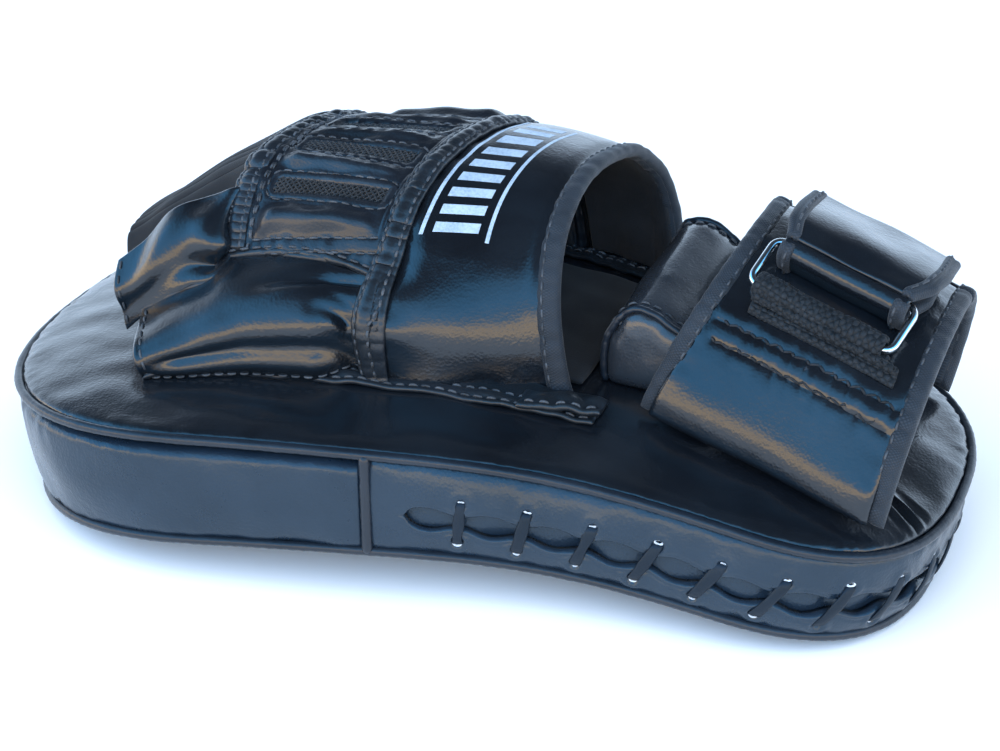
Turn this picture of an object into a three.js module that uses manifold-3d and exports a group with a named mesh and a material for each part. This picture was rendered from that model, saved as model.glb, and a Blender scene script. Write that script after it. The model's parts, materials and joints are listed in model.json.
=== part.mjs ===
// Curved boxing focus mitt for a right hand, lying on its striking face.
// Millimetres, +Z up. +X runs from the finger end to the wrist end, -Y is the thumb side.
// Shapes are laid out flat (x along the pad, y across, z up from the striking face) and
// then wrapped round the bend radius, which gives the pad its arch.
import * as THREE from "three";
import { mergeVertices } from "three/addons/utils/BufferGeometryUtils.js";
import Module from "manifold-3d";

const wasm = await Module();
wasm.setup();
const { lerp, clamp, degToRad, smoothstep } = THREE.MathUtils;

// ---- Driving dimensions ----
const GAP = 0.4; // between neighbouring pieces
const PAD_LENGTH = 290;
const HALF_LENGTH = PAD_LENGTH / 2;
const FINGER_HALF_WIDTH = 100.4;
const WRIST_HALF_WIDTH = 63.6;
const WAIST = { depth: 4.1, x: 41, spread: 45 };
const FINGER_CAP = { length: 89.5, power: 2.26 };
const WRIST_CAP = { length: 51.8, power: 2.52 };
const FINGER_THICKNESS = 38.9;
const WRIST_THICKNESS = 30;
const BEND_RADIUS = 662;
const BACK_CROWN = 4.5;
const CROWN_RUN = 30; // distance from an end over which the crown rises
const SKIN = 2; // cover leather with its backing
const PIPING_RADIUS = 1.5;
const GUSSET_SEAM_X = -6; // the side seam between the two wall pieces
const OUTLINE_STEPS = 31; // odd, so that one facet of the striking face is level
const END_ANGLE = 3.5; // degrees of the outline parameter left flat at each end

const STRIKE_FOAM_TOP = 14;
const CORE_FOAM_TOP = 0.62; // share of the wall height
const FOAM_INSET = 8;

const LACE = { spacing: 18, start: 15.5, width: 3.2, thickness: 0.9 };
const SLOT = { start: 7, half: 3.6, middle: 0.4, lift: 3 }; // middle as a share of the wall height
const HOLE_REACH = 7; // lace holes above and below the slot's middle line

// Arch of the hand cover, its feet and height above the edge of the back: k is its value at the knuckle seam, o at the wrist opening, and f
// how it changes towards the fingers over the same distance.
const KNUCKLE_X = -4;
const OPENING_X = 36;
const HAND = {
  foot: { k: 6.2, o: 6.2, f: 0 },
  centre: { k: 19, o: 22, f: -8 },
  near: { k: 63, o: 54, f: -12 },
  far: { k: 54, o: 55, f: 3 },
  height: { k: 59, o: 55, f: -2 },
  nearPinch: { k: 0, o: 3, f: 0 },
  farPinch: { k: 0, o: 14, f: 0 },
  yaw: { k: 9, o: 3, f: 0 },
  lean: { k: 8.5, o: 14, f: 0 },
};
const COVER = 2.2;
const FINGER_COVER_X = -50;
const BAND_WIDTH = 6.6;
const NEAR_TRIM_ANGLE = 32;
const FAR_FOOT_ANGLE = 180;
const VENT_COUNT = 4;
const VENT = { start: -46, end: -10, halfAngle: 3.2, angle: [57, 77, 92, 107], fan: [2, 6, 4, 2] };

// Wrist cuff arch, from its finger-side edge to its wrist-side edge.
const CUFF_X0 = 60;
const CUFF_X1 = 127;
const CUFF = {
  foot: [5.4, 3.4],
  centre: [18, 8],
  near: [48, 52],
  far: [46, 50],
  height: [55, 47],
  nearPinch: [0, 0],
  farPinch: [4, 14],
};
const WING = 5;
const BINDING = 5.2;
const NEAR_WING_END = 108;
const FAR_WING_END = 114;

const RING = { length: 45.4, height: 15.5, wire: 1.25, corner: 3, lowAngle: 55, highAngle: 71 };
const RING_LOW_X = 76;
const RING_LOW_OFFSET = 6;
const RING_HIGH_OFFSET = 9;
const STRAP = { x0: 80, x1: 117.6, thickness: 2, foldRadius: 4.3 };
const TAIL = { x0: 79.5, x1: 121.5, end: 104, offset: 9.6, thickness: 2.2, binding: 3.4 };
const PATCH = 1;
const WEBBING = { x0: 78.4, x1: 117.6, start: 42, thickness: 1.4 };

const BOLSTER_FOOT = 6.2;
const BOLSTER = { x0: 41, x1: 74, y0: -17, y1: 46, height: 30, low: 17 };

// ---- Looks: colour, roughness and metalness of each material ----
const LOOKS = {
  leather: [0x14161b, 0.28, 0],
  binding: [0x23262d, 0.8, 0],
  seam: [0x1a1c21, 0.6, 0],
  mesh: [0x1c1e22, 0.9, 0],
  webbing: [0x15161a, 0.9, 0],
  lining: [0x35302d, 0.9, 0],
  foam: [0x55565a, 0.95, 0],
  lace: [0x1b1e24, 0.45, 0],
  chrome: [0xd8dade, 0.12, 1],
  hook: [0x18191c, 0.95, 0],
};

const part = new THREE.Group();

// ---- Mesh helpers ----
function addPiece(name, look, geometry) {
  const [color, roughness, metalness] = LOOKS[look];
  const material = new THREE.MeshStandardMaterial({ color, roughness, metalness });
  const mesh = new THREE.Mesh(geometry, material);
  mesh.name = name;
  part.add(mesh);
}

function signedVolume(points, faces) {
  let sum = 0;
  const cross = new THREE.Vector3();
  for (const [a, b, c] of faces) {
    sum += points[a].dot(cross.crossVectors(points[b], points[c]));
  }
  return sum;
}

function geometryOf(points, faces) {
  const outward = signedVolume(points, faces) > 0;
  const ordered = outward ? faces : faces.map(([a, b, c]) => [a, c, b]);
  const geometry = new THREE.BufferGeometry().setFromPoints(points);
  geometry.setIndex(ordered.flat());
  return mergeVertices(geometry, 1e-3);
}

// The closed solid between two grids of points with the same rows and columns.
function between(top, bottom) {
  const rows = top.length;
  const columns = top[0].length;
  const points = [...top.flat(), ...bottom.flat()];
  const at = (r, c) => r * columns + c;
  const under = (r, c) => rows * columns + at(r, c);
  const faces = [];
  const quad = (a, b, c, d) => faces.push([a, b, c], [a, c, d]);
  for (let r = 0; r + 1 < rows; r++) {
    for (let c = 0; c + 1 < columns; c++) {
      quad(at(r, c), at(r, c + 1), at(r + 1, c + 1), at(r + 1, c));
      quad(under(r, c), under(r + 1, c), under(r + 1, c + 1), under(r, c + 1));
    }
  }
  for (let r = 0; r + 1 < rows; r++) {
    const last = columns - 1;
    quad(at(r, 0), at(r + 1, 0), under(r + 1, 0), under(r, 0));
    quad(at(r + 1, last), at(r, last), under(r, last), under(r + 1, last));
  }
  for (let c = 0; c + 1 < columns; c++) {
    const last = rows - 1;
    quad(at(0, c + 1), at(0, c), under(0, c), under(0, c + 1));
    quad(at(last, c), at(last, c + 1), under(last, c + 1), under(last, c));
  }
  return geometryOf(points, faces);
}

// A grid of points moved along its own normals.
function offsetGrid(grid, distance) {
  const rows = grid.length;
  const columns = grid[0].length;
  return grid.map((row, r) =>
    row.map((point, c) => {
      const along = grid[Math.min(r + 1, rows - 1)][c].clone().sub(grid[Math.max(r - 1, 0)][c]);
      const across = row[Math.min(c + 1, columns - 1)].clone().sub(row[Math.max(c - 1, 0)]);
      const normal = along.cross(across).normalize();
      return point.clone().addScaledVector(normal, distance);
    }),
  );
}

// A sheet of cloth or leather: the solid from low to high along a grid's normals.
function sheet(grid, low, high) {
  return between(offsetGrid(grid, high), offsetGrid(grid, low));
}

function gridOf(rows, columns, pointAt) {
  return Array.from({ length: rows + 1 }, (_, r) =>
    Array.from({ length: columns + 1 }, (_, c) => pointAt(r / rows, c / columns)),
  );
}

// A round cord along a list of points; a closed one joins its last point to its first.
function cord(route, radius, sides, closed) {
  const count = route.length;
  const rings = route.map((point, i) => {
    const before = route[closed ? (i + count - 1) % count : Math.max(i - 1, 0)];
    const after = route[closed ? (i + 1) % count : Math.min(i + 1, count - 1)];
    const tangent = after.clone().sub(before).normalize();
    const reference = Math.abs(tangent.z) > 0.8 ? new THREE.Vector3(0, 1, 0) : new THREE.Vector3(0, 0, 1);
    const side = tangent.clone().cross(reference).normalize();
    const rise = side.clone().cross(tangent).normalize();
    return Array.from({ length: sides }, (_, k) => {
      const turn = (2 * Math.PI * (k + 0.5)) / sides;
      return point
        .clone()
        .addScaledVector(side, radius * Math.cos(turn))
        .addScaledVector(rise, radius * Math.sin(turn));
    });
  });
  return loft(rings, closed);
}

// Rings of points joined in order, with flat ends unless the loft is closed on itself.
function loft(rings, closed) {
  const sides = rings[0].length;
  const points = rings.flat();
  const faces = [];
  const spans = closed ? rings.length : rings.length - 1;
  for (let r = 0; r < spans; r++) {
    const next = (r + 1) % rings.length;
    for (let k = 0; k < sides; k++) {
      const other = (k + 1) % sides;
      faces.push([r * sides + k, r * sides + other, next * sides + other]);
      faces.push([r * sides + k, next * sides + other, next * sides + k]);
    }
  }
  if (!closed) {
    const last = (rings.length - 1) * sides;
    for (let k = 1; k + 1 < sides; k++) {
      faces.push([0, k + 1, k]);
      faces.push([last, last + k, last + k + 1]);
    }
  }
  return geometryOf(points, faces);
}

function solidOf(geometry) {
  return new wasm.Manifold(
    new wasm.Mesh({
      numProp: 3,
      vertProperties: geometry.getAttribute("position").array,
      triVerts: new Uint32Array(geometry.index.array),
    }),
  );
}

function cut(geometry, cutters) {
  let solid = solidOf(geometry);
  for (const cutter of cutters) solid = solid.subtract(solidOf(cutter));
  const mesh = solid.getMesh();
  const result = new THREE.BufferGeometry();
  result.setAttribute("position", new THREE.BufferAttribute(mesh.vertProperties, 3));
  result.setIndex(new THREE.BufferAttribute(mesh.triVerts, 1));
  return result;
}

// ---- The pad's own space ----
function bend(x, y, z) {
  const turn = x / BEND_RADIUS;
  const radius = BEND_RADIUS + z;
  const base = BEND_RADIUS * Math.cos(HALF_LENGTH / BEND_RADIUS);
  return new THREE.Vector3(radius * Math.sin(turn), y, radius * Math.cos(turn) - base);
}

function wallHeight(x) {
  return lerp(FINGER_THICKNESS, WRIST_THICKNESS, (x + HALF_LENGTH) / PAD_LENGTH);
}

function endRounding(x, cap) {
  const along = clamp((x - (HALF_LENGTH - cap.length)) / cap.length, 0, 1);
  return Math.pow(1 - Math.pow(along, cap.power), 1 / cap.power);
}

function halfWidth(x) {
  const side = lerp(FINGER_HALF_WIDTH, WRIST_HALF_WIDTH, smoothstep(x, -HALF_LENGTH, HALF_LENGTH));
  const waist = WAIST.depth * Math.exp(-(((x - WAIST.x) / WAIST.spread) ** 2));
  return (side - waist) * endRounding(-x, FINGER_CAP) * endRounding(x, WRIST_CAP);
}

// A point of the outline, moved inwards. The parameter is 0 degrees at the finger end, 180 at
// the wrist end and passes the thumb side between them.
function outlineAt(angle, inset) {
  const place = (degrees) => {
    const x = -HALF_LENGTH * Math.cos(degToRad(degrees));
    return new THREE.Vector2(x, -Math.sign(Math.sin(degToRad(degrees))) * halfWidth(x));
  };
  const step = 0.4;
  const tangent = place(angle + step).sub(place(angle - step)).normalize();
  const inwards = new THREE.Vector2(-tangent.y, tangent.x);
  return place(angle).addScaledVector(inwards, inset);
}

function outlineAngle(x) {
  return (Math.acos(clamp(-x / HALF_LENGTH, -1, 1)) * 180) / Math.PI;
}

function crown(x, y) {
  const ends = Math.sqrt(clamp((HALF_LENGTH - Math.abs(x)) / CROWN_RUN, 0, 1));
  const across = clamp(Math.abs(y) / Math.max(halfWidth(x), 1), 0, 1);
  return BACK_CROWN * ends * (1 - Math.pow(across, 2.5));
}

function onBack(x, y, height) {
  return bend(x, y, wallHeight(x) + height);
}

// ---- Pad ----
function padLayer(inset, columns, lowAt, highAt) {
  const level = (heightAt) =>
    gridOf(OUTLINE_STEPS, columns, (r, c) => {
      const edge = outlineAt(lerp(END_ANGLE, 180 - END_ANGLE, r), inset);
      const y = edge.y * (1 - 2 * c);
      return bend(edge.x, y, heightAt(edge.x, y));
    });
  return between(level(highAt), level(lowAt));
}

function wallPiece(from, to, steps, inset, thickness, lowAt, highAt) {
  const grid = (depth) =>
    gridOf(steps, 1, (r, c) => {
      const point = outlineAt(lerp(from, to, r), depth);
      return bend(point.x, point.y, lerp(lowAt(point.x), highAt(point.x), c));
    });
  return between(grid(inset), grid(inset + thickness));
}

function edgeCord(heightAt, inset) {
  const route = [];
  const steps = 60;
  for (let i = 0; i < steps; i++) {
    const point = outlineAt((360 * (i + 0.5)) / steps, inset);
    route.push(bend(point.x, point.y, heightAt(point.x)));
  }
  return cord(route, PIPING_RADIUS, 5, true);
}

function sideCord(side) {
  const point = outlineAt(side * outlineAngle(GUSSET_SEAM_X), 0.4);
  const low = 2 * PIPING_RADIUS + GAP;
  const high = wallHeight(point.x) - 2 * PIPING_RADIUS - GAP;
  const route = [low, (low + high) / 2, high].map((z) => bend(point.x, point.y, z));
  return cord(route, PIPING_RADIUS, 6, false);
}

// Distances along the outline from the side seam round the wrist end, by small steps.
function wristOutlineTable() {
  const from = outlineAngle(GUSSET_SEAM_X);
  const table = [{ angle: from, length: 0 }];
  const step = 0.5;
  for (let angle = from + step; angle <= 360 - from; angle += step) {
    const last = table[table.length - 1];
    const moved = outlineAt(angle, 0).distanceTo(outlineAt(last.angle, 0));
    table.push({ angle, length: last.length + moved });
  }
  return table;
}

const WRIST_TABLE = wristOutlineTable();
const WRIST_RUN = WRIST_TABLE[WRIST_TABLE.length - 1].length;

function wristPoint(run, inset, z) {
  const index = clamp(WRIST_TABLE.findIndex((entry) => entry.length >= run), 1, WRIST_TABLE.length - 1);
  const low = WRIST_TABLE[index - 1];
  const high = WRIST_TABLE[index];
  const angle = lerp(low.angle, high.angle, (run - low.length) / (high.length - low.length));
  const point = outlineAt(angle, inset);
  return bend(point.x, point.y, z);
}

function slotHeight(run) {
  const rise = Math.exp(-Math.min(run, WRIST_RUN - run) / 25);
  return lerp(FINGER_THICKNESS, WRIST_THICKNESS, 0.75) * SLOT.middle + SLOT.lift * rise;
}

function laceStations() {
  const first = LACE.start + SLOT.start;
  const count = 2 * Math.floor((WRIST_RUN / 2 - first) / LACE.spacing) + 2;
  const spacing = (WRIST_RUN - 2 * first) / (count - 1);
  return Array.from({ length: count }, (_, i) => first + spacing * i);
}

function slotCutter() {
  const from = SLOT.start + 4;
  const steps = 40;
  const grid = (inset) =>
    gridOf(steps, 1, (r, c) => {
      const run = lerp(from, WRIST_RUN - from, r);
      const closing = Math.min(1, 0.35 + Math.min(r, 1 - r) * steps * 0.5);
      return wristPoint(run, inset, slotHeight(run) + SLOT.half * closing * (2 * c - 1));
    });
  return between(grid(-3), grid(SKIN + 1.5));
}

function holeCutter(run, z) {
  const reach = LACE.width / 2 + GAP;
  const half = LACE.thickness / 2 + GAP;
  const grid = (inset) =>
    gridOf(1, 1, (r, c) => wristPoint(run + reach * (2 * r - 1), inset, z + half * (2 * c - 1)));
  return between(grid(-3), grid(SKIN + 1.5));
}

// One flat lace: up across the slot outside, in through a hole, slanting down inside, out again.
function laceGeometry() {
  const outside = -LACE.thickness / 2 - GAP;
  const inside = SKIN + LACE.thickness / 2 + GAP;
  const corners = [];
  for (const run of laceStations()) {
    const middle = slotHeight(run);
    corners.push({ run, depth: inside, z: middle - HOLE_REACH });
    corners.push({ run, depth: outside, z: middle - HOLE_REACH });
    corners.push({ run, depth: outside, z: middle + HOLE_REACH });
    corners.push({ run, depth: inside, z: middle + HOLE_REACH });
  }
  const heading = (a, b) => new THREE.Vector2(Math.abs(a.depth - b.depth) > 1 ? b.depth - a.depth : 0,
    Math.abs(a.depth - b.depth) > 1 ? 0 : b.z - a.z).normalize();
  const half = LACE.thickness / 2;
  const rings = corners.map((corner, i) => {
    const before = i > 0 ? heading(corners[i - 1], corner) : heading(corner, corners[i + 1]);
    const after = i + 1 < corners.length ? heading(corner, corners[i + 1]) : before;
    const mitre = new THREE.Vector2(-before.y - after.y, before.x + after.x).multiplyScalar(
      half / (1 + before.dot(after)),
    );
    const place = (along, out) =>
      wristPoint(corner.run + (along * LACE.width) / 2, corner.depth + out * mitre.x, corner.z + out * mitre.y);
    return [place(-1, -1), place(1, -1), place(1, 1), place(-1, 1)];
  });
  return loft(rings, false);
}

function addPad() {
  const inner = SKIN + PIPING_RADIUS + GAP;
  const topInset = 2 * PIPING_RADIUS - 0.4 + GAP;
  const seam = outlineAngle(GUSSET_SEAM_X);
  const seamGap = 1.6;
  const lowWall = () => 2 * PIPING_RADIUS + GAP;
  const highWall = (x) => wallHeight(x) - 2 * PIPING_RADIUS - GAP;
  const coreTop = (x) => wallHeight(x) * CORE_FOAM_TOP;
  addPiece("strike_face_cover", "leather", padLayer(topInset, 4, () => 0, () => SKIN));
  addPiece("strike_foam", "foam", padLayer(FOAM_INSET, 2, () => SKIN + GAP, () => STRIKE_FOAM_TOP));
  addPiece("core_foam", "foam", padLayer(FOAM_INSET, 2, () => STRIKE_FOAM_TOP + GAP, coreTop));
  addPiece(
    "back_foam",
    "foam",
    padLayer(FOAM_INSET, 4, (x) => coreTop(x) + GAP, (x, y) => wallHeight(x) - SKIN - GAP - 0.2 + crown(x, y)),
  );
  addPiece(
    "back_cover",
    "leather",
    padLayer(topInset, 10, (x, y) => wallHeight(x) + crown(x, y) - SKIN, (x, y) => wallHeight(x) + crown(x, y)),
  );
  addPiece(
    "finger_end_gusset",
    "leather",
    wallPiece(-seam + seamGap * 0.7, seam - seamGap * 0.7, 36, 0, SKIN, lowWall, highWall),
  );
  const wrist = wallPiece(seam + seamGap * 0.7, 360 - seam - seamGap * 0.7, 40, 0, SKIN, lowWall, highWall);
  const holes = laceStations().flatMap((run) => [
    holeCutter(run, slotHeight(run) - HOLE_REACH),
    holeCutter(run, slotHeight(run) + HOLE_REACH),
  ]);
  addPiece("wrist_end_gusset", "leather", cut(wrist, [slotCutter(), ...holes]));
  addPiece("near_side_piping", "seam", sideCord(1));
  addPiece("far_side_piping", "seam", sideCord(-1));
  addPiece("top_edge_piping", "seam", edgeCord((x) => wallHeight(x) - PIPING_RADIUS, PIPING_RADIUS - 0.8));
  addPiece("bottom_edge_piping", "seam", edgeCord(() => PIPING_RADIUS, PIPING_RADIUS - 0.8));
  const tongueFrom = outlineAngle(GUSSET_SEAM_X + 9);
  addPiece(
    "lace_tongue",
    "leather",
    wallPiece(tongueFrom, 360 - tongueFrom, 36, inner + 0.3, 1.5, () => 5.4, () => STRIKE_FOAM_TOP + 6),
  );
  addPiece("lace", "lace", laceGeometry());
}

// ---- Arches over the back ----
function archPoint(arch, degrees) {
  const angle = degToRad(degrees);
  const nearSide = degrees < 90;
  const rise = Math.pow(Math.max(Math.sin(angle), 0), 2 / arch.power);
  const reach = Math.pow(Math.abs(Math.cos(angle)), 2 / arch.power);
  const width = nearSide ? arch.near : arch.far;
  const pinch = (nearSide ? arch.nearPinch : arch.farPinch) * (1 - rise) ** 2;
  const y = arch.centre - (nearSide ? 1 : -1) * (width - pinch) * reach;
  return { y, height: lerp(arch.foot, arch.height, rise) };
}

function handArch(station) {
  const t = (station - KNUCKLE_X) / (OPENING_X - KNUCKLE_X);
  const arch = { power: 2.3 };
  for (const [key, { k, o, f }] of Object.entries(HAND)) {
    arch[key] = t > 0 ? lerp(k, o, t) : k - f * t;
  }
  return arch;
}

function handPoint(station, degrees) {
  const arch = handArch(station);
  const { y, height } = archPoint(arch, degrees);
  const yaw = Math.tan(degToRad(arch.yaw)) * (y - arch.centre);
  const lean = Math.tan(degToRad(arch.lean)) * height;
  return { x: station + yaw - lean, y, height };
}

function onHand(station, degrees) {
  const { x, y, height } = handPoint(station, degrees);
  return onBack(x, y, height);
}

function handStrip(from, to, startAngle, endAngle, rows, columns, low, high) {
  const grid = gridOf(rows, columns, (r, c) => onHand(lerp(from, to, r), lerp(startAngle, endAngle, c)));
  return sheet(grid, low, high);
}

function ventPatch(index, grow, low, high) {
  const centre = VENT.angle[index];
  const grid = gridOf(4, 2, (r, c) => {
    const station = lerp(VENT.start - grow, VENT.end + grow, r);
    const spread = VENT.halfAngle + grow;
    const angle = centre + VENT.fan[index] * (0.5 - r) + spread * (2 * c - 1);
    return onHand(station, angle);
  });
  return sheet(grid, low, high);
}

function addHandCover() {
  const half = COVER / 2;
  const bandHalf = BAND_WIDTH / 2;
  addPiece(
    "hand_cover",
    "leather",
    handStrip(KNUCKLE_X + bandHalf + GAP, OPENING_X, 0, FAR_FOOT_ANGLE, 4, 20, -half, half),
  );
  addPiece(
    "hand_cover_binding",
    "binding",
    handStrip(OPENING_X + GAP, OPENING_X + GAP + 2.6, 0, FAR_FOOT_ANGLE, 1, 20, -2.2, 2.2),
  );
  addPiece(
    "knuckle_seam_band",
    "seam",
    handStrip(KNUCKLE_X - bandHalf, KNUCKLE_X + bandHalf, 0, FAR_FOOT_ANGLE, 1, 20, -half, half + 0.8),
  );
}

function addFingerCover() {
  const half = COVER / 2;
  const to = KNUCKLE_X - BAND_WIDTH / 2 - GAP;
  const cover = handStrip(FINGER_COVER_X, to, NEAR_TRIM_ANGLE, FAR_FOOT_ANGLE, 5, 22, -half, half);
  const cutters = Array.from({ length: VENT_COUNT }, (_, i) => ventPatch(i, 0.5, -4, 4));
  addPiece("finger_cover", "leather", cut(cover, cutters));
  for (let i = 0; i < VENT_COUNT; i++) {
    addPiece("mesh_vent_" + (i + 1), "mesh", ventPatch(i, 0, -half, 0));
  }
  const bandTo = FINGER_COVER_X - GAP;
  addPiece(
    "finger_end_band",
    "seam",
    handStrip(bandTo - BAND_WIDTH, bandTo, NEAR_TRIM_ANGLE, FAR_FOOT_ANGLE, 1, 20, -half, half + 0.8),
  );
}

// Curves along the thumb seam, from the finger end to the knuckle seam, above the back's edge.
const THUMB_SEAM = new THREE.CatmullRomCurve3(
  [
    new THREE.Vector3(-92, -42, 15),
    new THREE.Vector3(-70, -40.5, 25),
    new THREE.Vector3(-45, -38, 33.5),
    new THREE.Vector3(-20, -40.5, 32),
  ],
  false,
  "centripetal",
);
const THUMB_FOOT = new THREE.LineCurve3(new THREE.Vector3(-82, -63, 6), new THREE.Vector3(-15, -46, 6));

function onBackAt(point) {
  return onBack(point.x, point.y, point.z);
}

function addThumb() {
  const grid = gridOf(8, 8, (r, c) => {
    const foot = THUMB_FOOT.getPoint(r);
    const seam = THUMB_SEAM.getPoint(r);
    const outside = foot.clone();
    outside.z = seam.z * 0.62;
    outside.y -= 1;
    const over = seam.clone().lerp(outside, 0.45);
    over.z = seam.z + lerp(2.5, 1, r);
    const curve = new THREE.CubicBezierCurve3(foot, outside, over, seam);
    return onBackAt(curve.getPoint(c * 0.88));
  });
  addPiece("thumb_sleeve", "leather", sheet(grid, -0.8, 0.8));
  const route = Array.from({ length: 13 }, (_, i) => onBackAt(THUMB_SEAM.getPoint((0.9 * i) / 12)));
  addPiece("thumb_seam_piping", "seam", cord(route, 1.2, 6, false));
}

// The soft end of the finger pocket: a side panel on each side and a flap on top.
function pocketPoint(station, degrees, droop) {
  const { x, y, height } = handPoint(station, degrees);
  const beyond = Math.max(0, FINGER_COVER_X - BAND_WIDTH - station);
  return onBack(x, y * (1 - droop.narrow * beyond), Math.max(height - droop.drop * beyond, HAND.foot.k));
}

function pocketPanel(start, length, lowAngle, highAngle, droop) {
  return gridOf(6, 6, (r, c) => {
    const [low0, low1] = lowAngle;
    const [high0, high1] = highAngle;
    const degrees = lerp(lerp(low0, low1, r), lerp(high0, high1, r), c);
    return pocketPoint(start - length * r, degrees, droop);
  });
}

function addPocketEnd() {
  const start = FINGER_COVER_X - BAND_WIDTH - 2 * GAP;
  const near = pocketPanel(start, 34, [33, 23], [56, 30], { drop: 0.25, narrow: 0 });
  addPiece("finger_near_panel", "leather", sheet(near, -0.8, 0.8));
  const far = pocketPanel(start, 26, [127, 158], [178, 178], { drop: 0.25, narrow: 0 });
  addPiece("finger_far_panel", "leather", sheet(far, -0.8, 0.8));
  const flap = pocketPanel(start, 46, [60, 66], [122, 112], { drop: 0.55, narrow: 0.002 });
  addPiece("finger_top_flap", "lining", sheet(flap, -1.6, 1.6));
}

// Strips that sew the feet of the covers to the back.
function baseStrip(x0, x1, outerAt, widthAt) {
  const inwardsOf = (y) => -Math.sign(y);
  const grid = gridOf(10, 2, (r, c) => {
    const x = lerp(x0, x1, r);
    const outer = outerAt(r);
    const y = outer + inwardsOf(outer) * widthAt(r) * c;
    return onBack(x, y, crown(x, y) + GAP);
  });
  const rise = 1.8;
  return between(offsetUp(grid, rise), grid);
}

function offsetUp(grid, rise) {
  return grid.map((row) => row.map((point) => point.clone().add(new THREE.Vector3(0, 0, rise))));
}

function addBase() {
  const nearOuter = (r) => lerp(-66, -42, Math.pow(r, 0.75));
  addPiece("near_base_strip", "seam", baseStrip(-82, 45, nearOuter, (r) => lerp(9, 13, r)));
  addPiece("far_base_strip", "seam", baseStrip(-72, 40, (r) => lerp(77, 66, r * r), () => 10));
  const panel = gridOf(6, 4, (r, c) => {
    const x = lerp(-70, 36, r);
    const y = lerp(lerp(-34, -24, r), lerp(58, 50, r), c);
    return onBack(x, y, crown(x, y) + GAP);
  });
  addPiece("palm_panel", "lining", between(offsetUp(panel, 1.5), panel));
}

// ---- Wrist bolster ----
function bolsterSection(y, inset) {
  const points = [
    [BOLSTER.x0 + inset, BOLSTER_FOOT],
    [BOLSTER.x0 + inset, BOLSTER.height * 0.55],
    [BOLSTER.x0 + 3 + inset * 0.7, BOLSTER.height - 5 - inset * 0.4],
    [BOLSTER.x0 + 9, BOLSTER.height - inset],
    [lerp(BOLSTER.x0, BOLSTER.x1, 0.6), lerp(BOLSTER.height, BOLSTER.low, 0.35) - inset],
    [BOLSTER.x1 - inset, BOLSTER.low - inset],
    [BOLSTER.x1 - inset, BOLSTER_FOOT],
  ];
  return points.map(([x, height]) => onBack(x, y, height));
}

function addBolster() {
  const rows = 4;
  const spanOf = (inset, from, to) =>
    Array.from({ length: rows + 1 }, (_, i) => bolsterSection(lerp(from, to, i / rows), inset));
  const { y0, y1 } = BOLSTER;
  addPiece("bolster_cover", "leather", between(spanOf(0, y0, y1), spanOf(SKIN, y0, y1)));
  addPiece("bolster_foam", "foam", loft(spanOf(SKIN + 0.6, y0 + GAP, y1 - GAP), false));
  addPiece("bolster_near_end", "leather", loft([0, -SKIN].map((d) => bolsterSection(y0 - GAP + d, 0)), false));
  addPiece("bolster_far_end", "leather", loft([0, SKIN].map((d) => bolsterSection(y1 + GAP + d, 0)), false));
}

// ---- Wrist cuff ----
function cuffPoint(x, degrees) {
  const t = clamp((x - CUFF_X0) / (CUFF_X1 - CUFF_X0), -0.1, 1.1);
  const arch = { power: 2.2 };
  for (const [key, [start, end]] of Object.entries(CUFF)) arch[key] = lerp(start, end, t);
  const { y, height } = archPoint(arch, degrees);
  return onBack(x, y, height);
}

// A point moved off the cuff's middle surface along its normal.
function overCuff(x, degrees, offset) {
  const step = 0.5;
  const along = cuffPoint(x + step, degrees).sub(cuffPoint(x - step, degrees));
  const round = cuffPoint(x, degrees + step).sub(cuffPoint(x, degrees - step));
  const normal = along.cross(round).normalize();
  return cuffPoint(x, degrees).addScaledVector(normal, offset);
}

function cuffLeft(degrees) {
  return 55 + 14.5 * Math.sin(degToRad(degrees));
}

function cuffRight(degrees) {
  return 129.5 - 1.5 * Math.sin(degToRad(degrees));
}

function cuffPanel(fromEdge, toEdge, startAngle, endAngle, rows, columns, low, high) {
  const grid = (offset) =>
    gridOf(rows, columns, (r, c) => {
      const degrees = lerp(startAngle, endAngle, c);
      return overCuff(lerp(fromEdge(degrees), toEdge(degrees), r), degrees, offset);
    });
  return between(grid(high), grid(low));
}

function addWing(name, startAngle, endAngle) {
  const half = WING / 2;
  const inner = (degrees) => cuffLeft(degrees) + BINDING + GAP;
  const outer = (degrees) => cuffRight(degrees) - BINDING - GAP;
  const leftEnd = (degrees) => cuffLeft(degrees) + BINDING;
  const rightStart = (degrees) => cuffRight(degrees) - BINDING;
  const panel = cuffPanel(inner, outer, startAngle, endAngle, 3, 14, -half, half);
  const left = cuffPanel(cuffLeft, leftEnd, startAngle, endAngle, 1, 14, -half - 0.3, half + 0.3);
  const right = cuffPanel(rightStart, cuffRight, startAngle, endAngle, 1, 14, -half - 0.3, half + 0.3);
  addPiece(name, "leather", panel);
  addPiece(name + "_left_binding", "binding", left);
  addPiece(name + "_right_binding", "binding", right);
}

// ---- Ring, strap and tail ----
function ringFrame() {
  const origin = overCuff(RING_LOW_X, RING.lowAngle, RING_LOW_OFFSET);
  const right = overCuff(RING_LOW_X + RING.length, RING.lowAngle, RING_LOW_OFFSET);
  const top = overCuff(RING_LOW_X + 2, RING.highAngle, RING_HIGH_OFFSET);
  const along = right.sub(origin).normalize();
  const up = top.sub(origin);
  up.addScaledVector(along, -up.dot(along)).normalize();
  const out = up.clone().cross(along).normalize();
  if (out.z < 0) out.negate();
  return { origin, along, up, out };
}

const FRAME = ringFrame();

function inRing(a, b, c) {
  return FRAME.origin
    .clone()
    .addScaledVector(FRAME.along, a)
    .addScaledVector(FRAME.up, b)
    .addScaledVector(FRAME.out, c);
}

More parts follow.
